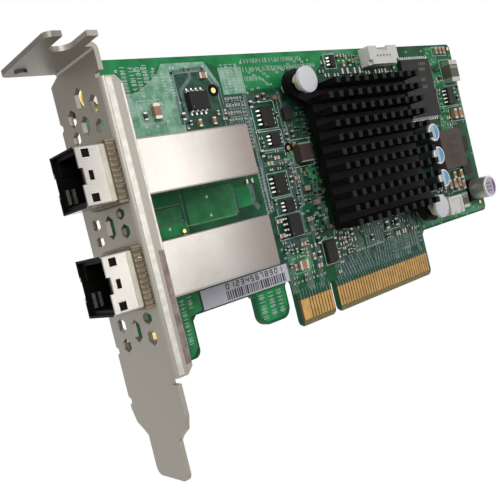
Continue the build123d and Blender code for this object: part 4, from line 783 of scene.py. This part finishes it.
# Sockets: black glass-filled mouldings in the cages, with gold contacts on their tongues and
# bright plated springs beside the mouth. Each moulding wraps round the edge of its mouth, over
# three of the sheet's four rims.
black_mould = finish("black_moulding", (0.0025, 0.0025, 0.002), 0.45, mottle=0.3, grain_mm=0.2, gloss=0.1)
spring_steel = finish("spring_steel", (0.7, 0.69, 0.66), 0.28, metal=0.9, mottle=0.1)
coat(black_mould, "upper_receptacle", "lower_receptacle")
coat(gold, "port_contacts")
coat(spring_steel, "port_springs")
LINER_IN, LINER_T, LINER_X0, LINER_X1, RIM, RIM_UP = 0.36, 0.04, CAGE_FRONT + 0.02, CAGE_FRONT + 7.4, 0.35, 0.03
near_y, far_y = CAGE_TOP, NOSE_BOTTOM
liners, latches = [], []
for z in PORT_Z:
    low_z, high_z = z - CAGE_SIDE, z + CAGE_SIDE
    liners.append((LINER_X0, LINER_X1, far_y - LINER_IN - LINER_T, far_y - LINER_IN, low_z + LINER_IN,
                   high_z - LINER_IN))
    for z0 in (high_z - LINER_IN - LINER_T, low_z + LINER_IN):
        liners.append((LINER_X0, LINER_X1, near_y + LINER_IN + 0.6, far_y - LINER_IN, z0, z0 + LINER_T))
    for y0, z0, z1 in ((far_y - RIM, low_z, z - 2.3), (far_y - RIM, z + 2.3, high_z),
                       (near_y + 0.8, high_z - RIM, high_z), (near_y + 0.8, low_z, low_z + RIM)):
        liners.append((CAGE_FRONT - RIM_UP, CAGE_FRONT + RIM_UP, y0, far_y, z0, z1))
    for dx, dz in ((1.2, 2.9), (1.5, 2.2)):
        latches.append((CAGE_FRONT + dx, CAGE_FRONT + dx + 0.35, far_y - 1.25, far_y - 1.1, z + dz - 0.2,
                        z + dz + 0.25))
add_piece("mouth_liners", blocks(liners), black_mould)
add_piece("mouth_latches", blocks(latches), spring_steel)


# Heat sink: black anodised aluminium with square pins, over the controller's green package.
# The tips of the pins are rougher than their sides, and are painted greyer as a painted highlight on the pin ends.
coat(finish("black_anodised", (0.003, 0.003, 0.0032), 0.5, mottle=0.25, mottle_mm=3.0, grain_mm=0.15, gloss=0.12),
     "heat_sink")
coat(finish("controller_package", (0.02, 0.05, 0.03), 0.4), "controller_chip")
coat(finish("thermal_pad_grey", (0.35, 0.35, 0.38), 0.8), "thermal_pad")
SINK_X, SINK_Z, SINK_PINS, PIN, TIP_HALF, TIP_Y = (2.6, 39.6), (19.6, 54.8), 11, 1.5, 0.62, -10.885
EARS, EAR_R = [(-0.4, 55.4), (40.2, 18.1)], 4.7
pin_x, pin_z = [np.linspace(a + PIN / 2, b - PIN / 2, SINK_PINS) for a, b in (SINK_X, SINK_Z)]
tips = [(x - TIP_HALF, x + TIP_HALF, z - TIP_HALF, z + TIP_HALF) for x in pin_x for z in pin_z
        if min(math.hypot(x - ex, z - ez) for ex, ez in EARS) > EAR_R]
add_piece("sink_pin_tips", plates(tips, TIP_Y, 0.02, 0.1),
          finish("pin_tip_painted_highlight", (0.0085, 0.0085, 0.009), 0.6, mottle=0.5, mottle_mm=0.5, gloss=0.15))


# Push pins: white nylon with a domed head and a split barb behind the board, and a beige coil
# spring under each head.
def lathe(profile, x, z, sides=40):
    """A surface of revolution about a line along Y through x, z, from pairs of radius and y.
    Point k of ring i is the radius at an even turn k; the first and last radii are nought."""
    profile = np.asarray(profile, float)
    turn = 2 * np.pi * np.arange(sides) / sides
    r, y = profile[1:-1, :1], profile[1:-1, 1:]
    rings, walls = carried(np.stack([x + r * np.cos(turn), y + 0 * turn, z + r * np.sin(turn)], axis=-1)[None])
    i = np.arange(sides)
    j = (i + 1) % sides
    first, last, row = len(rings), len(rings) + 1, len(rings) - sides
    fans = [[first, a, b] for a, b in zip(i, j)] + [[row + a, last, row + b] for a, b in zip(i, j)]
    return np.concatenate([rings, [(x, profile[0, 1], z), (x, profile[-1, 1], z)]]), walls[2:] + fans


def coil(x, z, y_low, steps=96, sides=8):
    """A wire tube round a helix about Y: the helix is COIL_R from the axis and climbs evenly;
    each ring of the tube lies across the wire, from the outward direction and Y."""
    t = np.linspace(0, 1, steps)
    angle = 2 * np.pi * TURNS * t
    out = np.stack([np.cos(angle), 0 * t, np.sin(angle)], axis=1)
    centre = (x, y_low + WIRE_R, z) + COIL_R * out + (SPRING_L - 2 * WIRE_R) * t[:, None] * (0, 1, 0)
    turn = (2 * np.pi * np.arange(sides) / sides)[:, None]
    rings = centre[:, None, :] + WIRE_R * (np.cos(turn) * out[:, None, :] + np.sin(turn) * (0, 1, 0))
    return carried(rings[None])


HEAD_Y, BASE_TOP_Y, SPRING_L, TURNS, WIRE_R, COIL_R = -8.385, -5.185, 2.4, 3.5, 0.28, 1.92
DOME = [(0, HEAD_Y - 0.22), (1.2, HEAD_Y - 0.2), (2.4, HEAD_Y - 0.12), (2.9, HEAD_Y - 0.02), (3.06, HEAD_Y + 0.1),
        (3.06, HEAD_Y + 0.3), (0, HEAD_Y + 0.3)]
BARB = [(0, BACK + 2.3), (0.7, BACK + 2.28), (1.75, BACK + 1.2), (1.75, BACK + 0.9), (1.3, BACK + 0.6),
        (0, BACK + 0.6)]
nylon = finish("white_nylon", (0.55, 0.56, 0.6), 0.45, mottle=0.03, gloss=0.4)
coat(nylon, "push_pins")
for title, shape in (("push_pin_domes", DOME), ("push_pin_barbs", BARB)):
    add_piece(title, outward(join([lathe(shape, x, z) for x, z in EARS])), nylon, smooth=True)
coils = add_piece("push_pin_coils", outward(join([coil(x, z, BASE_TOP_Y - SPRING_L) for x, z in EARS])),
                  finish("beige_spring", (0.42, 0.36, 0.25), 0.4, metal=0.6, mottle=0.1),
                  smooth=True)
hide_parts("push_pin_springs")


# Chips: black epoxy bodies with a pin-one dot and plain printed strokes, and tinned gull-wing
# leads that come out at half height and step down to the board.
def gull(x, z, w, h, t, side, n, pitch, lead_w):
    """Leads of one package. In the plane of a lead the centre line goes out level at half the
    body's height, bends down over a quarter of the reach and ends flat on the board."""
    y_mid, y_foot = FACE - SEAT - t / 2, FACE - 0.2 - LEAD_T / 2
    line = np.array([(-0.05, y_mid), (0.22, y_mid), (0.34, y_mid + 0.08), (0.46, y_foot - 0.1), (0.58, y_foot),
                     (LEAD_OUT, y_foot)])
    corner = np.array([(-1, -1), (1, -1), (1, 1), (-1, 1)])
    row = ((np.arange(n) - (n - 1) / 2) * pitch)[:, None, None]
    reach = np.array([-1, 1])[:, None, None, None] * ((h if side == "z" else w) / 2 + line[:, :1])
    across = row + corner[:, 0] * lead_w / 2
    leads = np.empty((2, n, len(line), 4, 3))
    leads[..., 0] = x + (across if side == "z" else reach)
    leads[..., 1] = line[:, 1:] + corner[:, 1] * LEAD_T / 2
    leads[..., 2] = z + (reach if side == "z" else across)
    return carried(leads.reshape(-1, len(line), 4, 3))


SEAT, LEAD_OUT, LEAD_T, DOT_R, BIG_DOT_R = 0.12, 0.95, 0.16, 0.22, 0.5
GULLS = [
    # x, z, width along X, height along Z, thickness, leads on the ends along Z or X, leads a side, pitch, lead width
    (-28.3, 54.4, 5.0, 3.9, 1.55, "z", 4, 1.27, 0.42), (-9.0, 23.4, 3.9, 4.9, 1.55, "x", 4, 1.27, 0.42),
    (-9.3, 49.2, 3.6, 4.6, 1.0, "x", 4, 4.6 / 4.4, 0.35), (-8.2, 43.8, 2.8, 2.9, 0.9, "x", 3, 2.9 / 3.4, 0.35),
    (-10.2, 33.4, 3.6, 4.4, 1.0, "x", 4, 1.0, 0.35), (-8.7, 28.1, 2.8, 2.9, 0.9, "x", 3, 2.9 / 3.4, 0.35),
    (67.3, 48.4, 3.2, 4.9, 1.4, "x", 4, 4.9 / 4.4, 0.35), (17.8, 61.2, 1.7, 2.9, 1.0, "x", 3, 2.9 / 3.4, 0.35),
    (53.0, 51.7, 13.8, 16.8, 1.1, "z", 14, 0.92, 0.4)]
epoxy = finish("black_epoxy", (0.016, 0.015, 0.015), 0.55, mottle=0.15, grain_mm=0.08, bump=0.02, gloss=0.2)
coat(epoxy, "small_outline_chips", "logic_chips")
coat(finish("grey_epoxy", (0.017, 0.018, 0.018), 0.6, mottle=0.12, grain_mm=0.08, gloss=0.22), "flash_chip")
bright_tin = finish("bright_tin", (0.78, 0.77, 0.73), 0.3, metal=0.8, mottle=0.1, mottle_mm=0.6)
add_piece("gull_wing_leads", outward(join([gull(*row) for row in GULLS])), bright_tin)
dots = [rounds([(x - w / 2 + 0.55, z - h / 2 + 0.6)], DOT_R if n < 14 else BIG_DOT_R, FACE - SEAT - t - 0.012,
               FACE - SEAT - t + 0.05, 16) for x, z, w, h, t, side, n, pitch, lead_w in GULLS if n > 3]
add_piece("chip_dots", join(dots), finish("faint_ink", (0.075, 0.07, 0.062), 0.6, mottle=0.15))
FLASH_TOP, MARK_PITCH, MARK_W, MARK_H = FACE - SEAT - 1.1, 0.75, 0.55, 0.9
chip_marks = [(54.2 + MARK_PITCH * k, 54.2 + MARK_PITCH * k + MARK_W, z, z + MARK_H)
              for z, count in ((58.2, 5), (56.6, 4), (53.6, 3), (51.4, 3)) for k in range(count)]
add_piece("chip_marks", plates(chip_marks, FLASH_TOP, 0.012, 0.02),
          finish("laser_mark", (0.075, 0.058, 0.042), 0.6, mottle=0.3))


# Tantalum capacitors: grey-brown moulded blocks with a paler polarity band across one end.
coat(finish("grey_moulding", (0.08, 0.082, 0.064), 0.5, mottle=0.12, gloss=0.25), "tantalum_capacitors")
band = finish("polarity_band", (0.24, 0.225, 0.19), 0.5, mottle=0.08)
add_piece("polarity_bands", blocks([(68.1, 71.9, FACE - 2.63, FACE - 2.5, 56.3, 57.0),
                                    (60.9, 63.5, FACE - 1.53, FACE - 1.4, 17.8, 18.2)]), band)


# Inductors: pressed brown powder with a grid of plain stamped squares, and dark ferrite with
# a pale band where its winding ends come out.
coat(finish("brown_powder", (0.072, 0.054, 0.047), 0.65, mottle=0.12, grain_mm=0.12, bump=0.03, gloss=0.2),
     "power_inductor")
coat(finish("dark_ferrite", (0.046, 0.032, 0.029), 0.5, mottle=0.12, gloss=0.2), "small_inductor")
SMALL_TOP, COIL_TOP = FACE - 2.35, FACE - 4.15
add_piece("ferrite_edges", plates([(-2.75, 1.15, 41.45, 41.82), (-2.75, 1.15, 37.18, 37.5)], SMALL_TOP, 0.02, 0.6),
          band)
stamps = []
for x in (55.6, 57.35, 59.1):
    for z in (29.9, 32.6, 35.3):
        stamps += [(x, x + 0.95, z, z + 0.55), (x + 0.1, x + 0.85, z + 0.85, z + 1.35)]
add_piece("inductor_stamps", plates(stamps, COIL_TOP, 0.012),
          finish("stamp_dark", (0.018, 0.014, 0.013), 0.7, mottle=0.2))


# Capacitor cans: drawn aluminium, crimped over black bases. The small ones have a pale blue
# top with a blue segment, the large one a lilac top with a violet segment and a pale rim.
def segment(x, z, r, cut, sides=24):
    """The part of a disc right of a chord: the arc from the angle whose cosine is cut over r,
    back round to its mirror, closed by the chord."""
    reach = math.acos(cut / r)
    turn = np.linspace(-reach, reach, sides)
    return np.stack([x + r * np.cos(turn), z + r * np.sin(turn)], axis=1)


# the small cans' sides are painted near black: painted reflection of the black sink pins beside them
coat(finish("can_side_painted_reflection", (0.028, 0.03, 0.034), 0.35, mottle=0.1, gloss=0.6), "electrolytic_cans")
coat(finish("can_aluminium", (0.3, 0.32, 0.28), 0.36, metal=0.7, mottle=0.08), "polymer_can")
coat(black_mould, "electrolytic_bases", "polymer_base")
lilac = finish("lilac_top", (0.37, 0.33, 0.39), 0.4, mottle=0.12, mottle_mm=2.0)
pale_blue = finish("pale_blue_top", (0.4, 0.46, 0.5), 0.4, mottle=0.1, mottle_mm=2.0)
blue = finish("blue_segment", (0.08, 0.285, 0.52), 0.4, mottle=0.12, mottle_mm=2.0)
violet = finish("violet_segment", (0.105, 0.05, 0.135), 0.45, mottle=0.15, mottle_mm=1.0)
rim_white = finish("rim_white", (0.72, 0.73, 0.74), 0.35, metal=0.5, mottle=0.05)
SMALL_CANS = [(47.7, 38.1, 2.5, -6.185), (47.7, 31.6, 2.5, -6.185), (47.7, 25.1, 2.5, -6.185)]
LARGE_CAN = (69.4, 19.3, 3.15, -6.585)
SMALL_CUT, LARGE_CUT, SEGMENT_IN, SEGMENT_UP = 0.35, 1.5, 0.27, 0.045


def can_top(x, z, r, top):
    """A disc just inside a can's rim."""
    return rounds([(x, z)], r - 0.25, top - 0.03, top + 0.1, 32)


def can_rim(x, z, r, top):
    """The turned rim of a can, down over its upper edge."""
    return lathe([(0, top - 0.005), (r - 0.5, top - 0.01), (r - 0.28, top - 0.07), (r - 0.05, top - 0.03),
                  (r + 0.02, top + 0.25), (r + 0.02, top + 0.6), (0, top + 0.6)], x, z)


def can_mark(x, z, r, top, cut):
    """The coloured segment on a can's top."""
    return prism(segment(x, z, r - SEGMENT_IN, cut), top - SEGMENT_UP, top + 0.05)


add_piece("can_tops", join([can_top(*can) for can in SMALL_CANS]), pale_blue)
add_piece("polymer_top", can_top(*LARGE_CAN), lilac)
add_piece("can_rims", outward(join([can_rim(*can) for can in SMALL_CANS + [LARGE_CAN]])), rim_white,
          smooth=True)
add_piece("can_segments", join([can_mark(*can, SMALL_CUT) for can in SMALL_CANS]), blue)
add_piece("polymer_segment", can_mark(*LARGE_CAN, LARGE_CUT), violet)
x, z, r, top = LARGE_CAN
dashes = [(x + dx, x + dx + 0.55, z + dz, z + dz + 0.6) for dz in (-1.5, -0.4, 0.7) for dx in (-1.9, -1.0, -0.1)]
add_piece("polymer_marks", plates(dashes, top, SEGMENT_UP), violet)


# Wire headers: cream-white nylon shrouds with plated pins. The big one is open towards the
# board's top edge and has plain pin marks by its mouth; the small one is filled to its rim.
header_nylon = finish("header_nylon", (0.56, 0.56, 0.54), 0.45, mottle=0.03, gloss=0.4)
coat(header_nylon, "wire_header", "aux_header")
coat(bright_tin, "header_pins")
HEADER_TOP, TICK_PITCH, AUX_WALL = FACE - 3.4, 1.35, 0.6
low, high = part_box("aux_header")
add_piece("aux_header_filling", blocks([(low.x / MM + AUX_WALL, high.x / MM - AUX_WALL, low.y / MM + 0.35,
                                         low.y / MM + 1.4, low.z / MM + AUX_WALL, high.z / MM - AUX_WALL)]),
          header_nylon)
ticks = [(x + TICK_PITCH * k, x + TICK_PITCH * k + w, z0, z1) for x, w, z0, z1 in
         ((33.0, 0.8, 61.0, 61.25), (33.3, 0.2, 60.7, 61.5)) for k in range(5)]
add_piece("header_ticks", plates(ticks, HEADER_TOP, 0.015),
          finish("tick_grey", (0.12, 0.12, 0.115), 0.6, mottle=0.1))


# Label: white printed stock with a plain number row over a row of bars, and a blank left end.
coat(finish("label_stock", (0.47, 0.47, 0.54), 0.5, mottle=0.03), "label")
ink_black = finish("label_ink", (0.016, 0.016, 0.018), 0.6, mottle=0.1)
low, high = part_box("label")
LABEL_X0, LABEL_X1, LABEL_Y, LABEL_Z0 = low.x / MM, high.x / MM, low.y / MM, low.z / MM
BAR_WIDTHS, BAR_GAPS, BAR_Z0, BAR_Z1, LABEL_INK_UP = (0.2, 0.32, 0.5), (0.18, 0.3), 0.35, 2.3, 0.012
bars, x = [], LABEL_X0 + 6.6
while x < LABEL_X1 - 0.9:
    w = BAR_WIDTHS[draw.integers(0, 3)]
    bars.append((x, x + w, LABEL_Z0 + BAR_Z0, LABEL_Z0 + BAR_Z1))
    x += w + BAR_GAPS[draw.integers(0, 2)]
# digits of seven bars, from nought to nine: each bar is named by where it stands in its figure
SEGMENTS = {"top": (0, 1, 1, 1), "middle": (0, 0.5, 1, 0.5), "foot": (0, 0, 1, 0), "high_left": (0, 0.5, 0, 1),
            "high_right": (1, 0.5, 1, 1), "low_left": (0, 0, 0, 0.5), "low_right": (1, 0, 1, 0.5)}
ABSENT = ["middle", "top middle foot high_left low_left", "high_left low_right", "high_left low_left",
          "top foot low_left", "high_right low_left", "high_right", "middle foot high_left low_left", "", "low_left"]
FIGURE_PITCH, FIGURE_W, FIGURE_H, FIGURE_LINE = 1.45, 0.7, 1.05, 0.24
figures = []
for k in range(12):
    fx, fz = LABEL_X0 + 6.9 + FIGURE_PITCH * k, LABEL_Z0 + 2.72
    figures += [[(fx + ax * FIGURE_W, fz + az * FIGURE_H), (fx + bx * FIGURE_W, fz + bz * FIGURE_H)]
                for bar, (ax, az, bx, bz) in SEGMENTS.items() if bar not in ABSENT[k % 10].split()]
add_piece("label_bars", plates(bars, LABEL_Y, LABEL_INK_UP, 0.02), ink_black)
add_piece("label_figures", runs(figures, FIGURE_LINE, LABEL_Y - LABEL_INK_UP, LABEL_Y + 0.02), ink_black)


# Solder side: through-hole joints of the sockets and headers, tracks, vias and a few small
# parts, under the same mask.
def to_back(rows):
    """Boxes that stood on the component side, moved to stand on the solder side."""
    rows = rows.copy()
    rows[:, 3] = BACK + FACE - rows[:, 2]
    rows[:, 2] = BACK
    return rows


joints_at = [(x, z + dz) for z in PORT_Z for dz in (-4.6, -2.3, 0.0, 2.3, 4.6) for x in (-47.0, -40.0, -33.0, -28.0)]
joints_at += [(32.2 + 2.0 * k, 60.2) for k in range(5)] + [(50.4 + 1.6 * k, 16.9) for k in range(3)]
CONE = [(0, BACK - 0.02), (0.85, BACK - 0.01), (0.6, BACK + 0.15), (0.34, BACK + 0.6), (0.28, BACK + 0.95),
        (0, BACK + 0.98)]
add_piece("solder_joints", outward(join([lathe(CONE, x, z, 14) for x, z in joints_at])),
          finish("solder", (0.62, 0.62, 0.6), 0.3, metal=0.8, mottle=0.1, mottle_mm=1.0),
          smooth=True)
BACK_TRACES = [
    ([(-26, 44), (-16, 44), (-10, 38), (4, 38)], 7, 0.5),
    ([(-26, 24), (-14, 24), (-8, 30), (4, 30)], 7, 0.5), ([(6, 20), (6, 12), (4, 9), (4, 6.4)], 8, 0.5),
    ([(20, 20), (20, 6.4)], 12, 0.55), ([(34, 20), (34, 10), (32, 8), (32, 6.4)], 8, 0.5),
    ([(38, 40), (50, 40), (58, 32), (70, 32)], 5, 0.6), ([(36, 58), (36, 50), (30, 44)], 5, 0.6),
    ([(-44, 60), (-10, 60), (-4, 54)], 3, 0.7)]
BACK_TRACE_W, BACK_LINE_W, BALL_PITCH = 0.18, 0.2, 1.27
back_lines = [p for line, count, pitch in BACK_TRACES for p in bundle(line, count, pitch)]
add_piece("back_traces", runs(back_lines, BACK_TRACE_W, BACK, BACK + TRACE_UP), trace_green)
grid_x, grid_z = np.meshgrid(np.arange(8.6, 34.0, BALL_PITCH), np.arange(25.0, 50.4, BALL_PITCH))
stray = np.stack([draw.uniform(-40, 72, 260), draw.uniform(13, 62, 260)], axis=1)
back_vias = np.concatenate([np.stack([grid_x.ravel(), grid_z.ravel()], axis=1), stray])
add_piece("back_via_rings", rounds(back_vias, VIA_R, BACK, BACK + VIA_UP), tin)
add_piece("back_via_bores", rounds(back_vias, BORE_R, BACK + VIA_UP - BORE_UP, BACK + VIA_UP + BORE_UP), bore_painted_shade)
back_fields = [(6.6, 36.0, 23.0, 52.0), (40.4, 73.0, 44.0, 62.0), (-54.0, -14.0, 50.6, 62.6)]
add_piece("back_fills", join([prism(corners(*field), BACK - FILL_T, BACK + FILL_T / 2) for field in back_fields]),
          finish("back_fill", (0.02, 0.12, 0.05), 0.36, mottle=0.0, mottle_mm=4.0, gloss=0.14,
                 second=(0.035, 0.18, 0.08)))
rows = [(x, z, 1.6, 0.8, 0.5, 0) for x in np.arange(11.0, 33.0, 3.1) for z in (24.2, 36.9, 49.8)]
rows += [(x, z, 2.0, 1.2, 0.7, 1) for x, z in (
    (44, 50), (44, 47), (48, 50), (56, 55), (60, 55), (64, 24), (60, 22), (-4, 46), (-4, 34), (-8, 20), (0, 18),
    (-20, 55), (-24, 55))]
under_body, under_ends = two_ended(rows)
add_piece("back_part_bodies", blocks(to_back(under_body)), tan_ceramic)
add_piece("back_part_ends", blocks(to_back(under_ends)), tin)
back_frames = [(5.4, 37.0, 22.0, 53.0), (29.0, 44.0, 58.0, 63.4), (47.6, 56.4, 13.6, 20.4), (42.0, 50.0, 45.0, 52.0)]
add_piece("back_ink", runs([hoop(*frame_row) for frame_row in back_frames], BACK_LINE_W, BACK, BACK + INK_UP),
          white_ink)
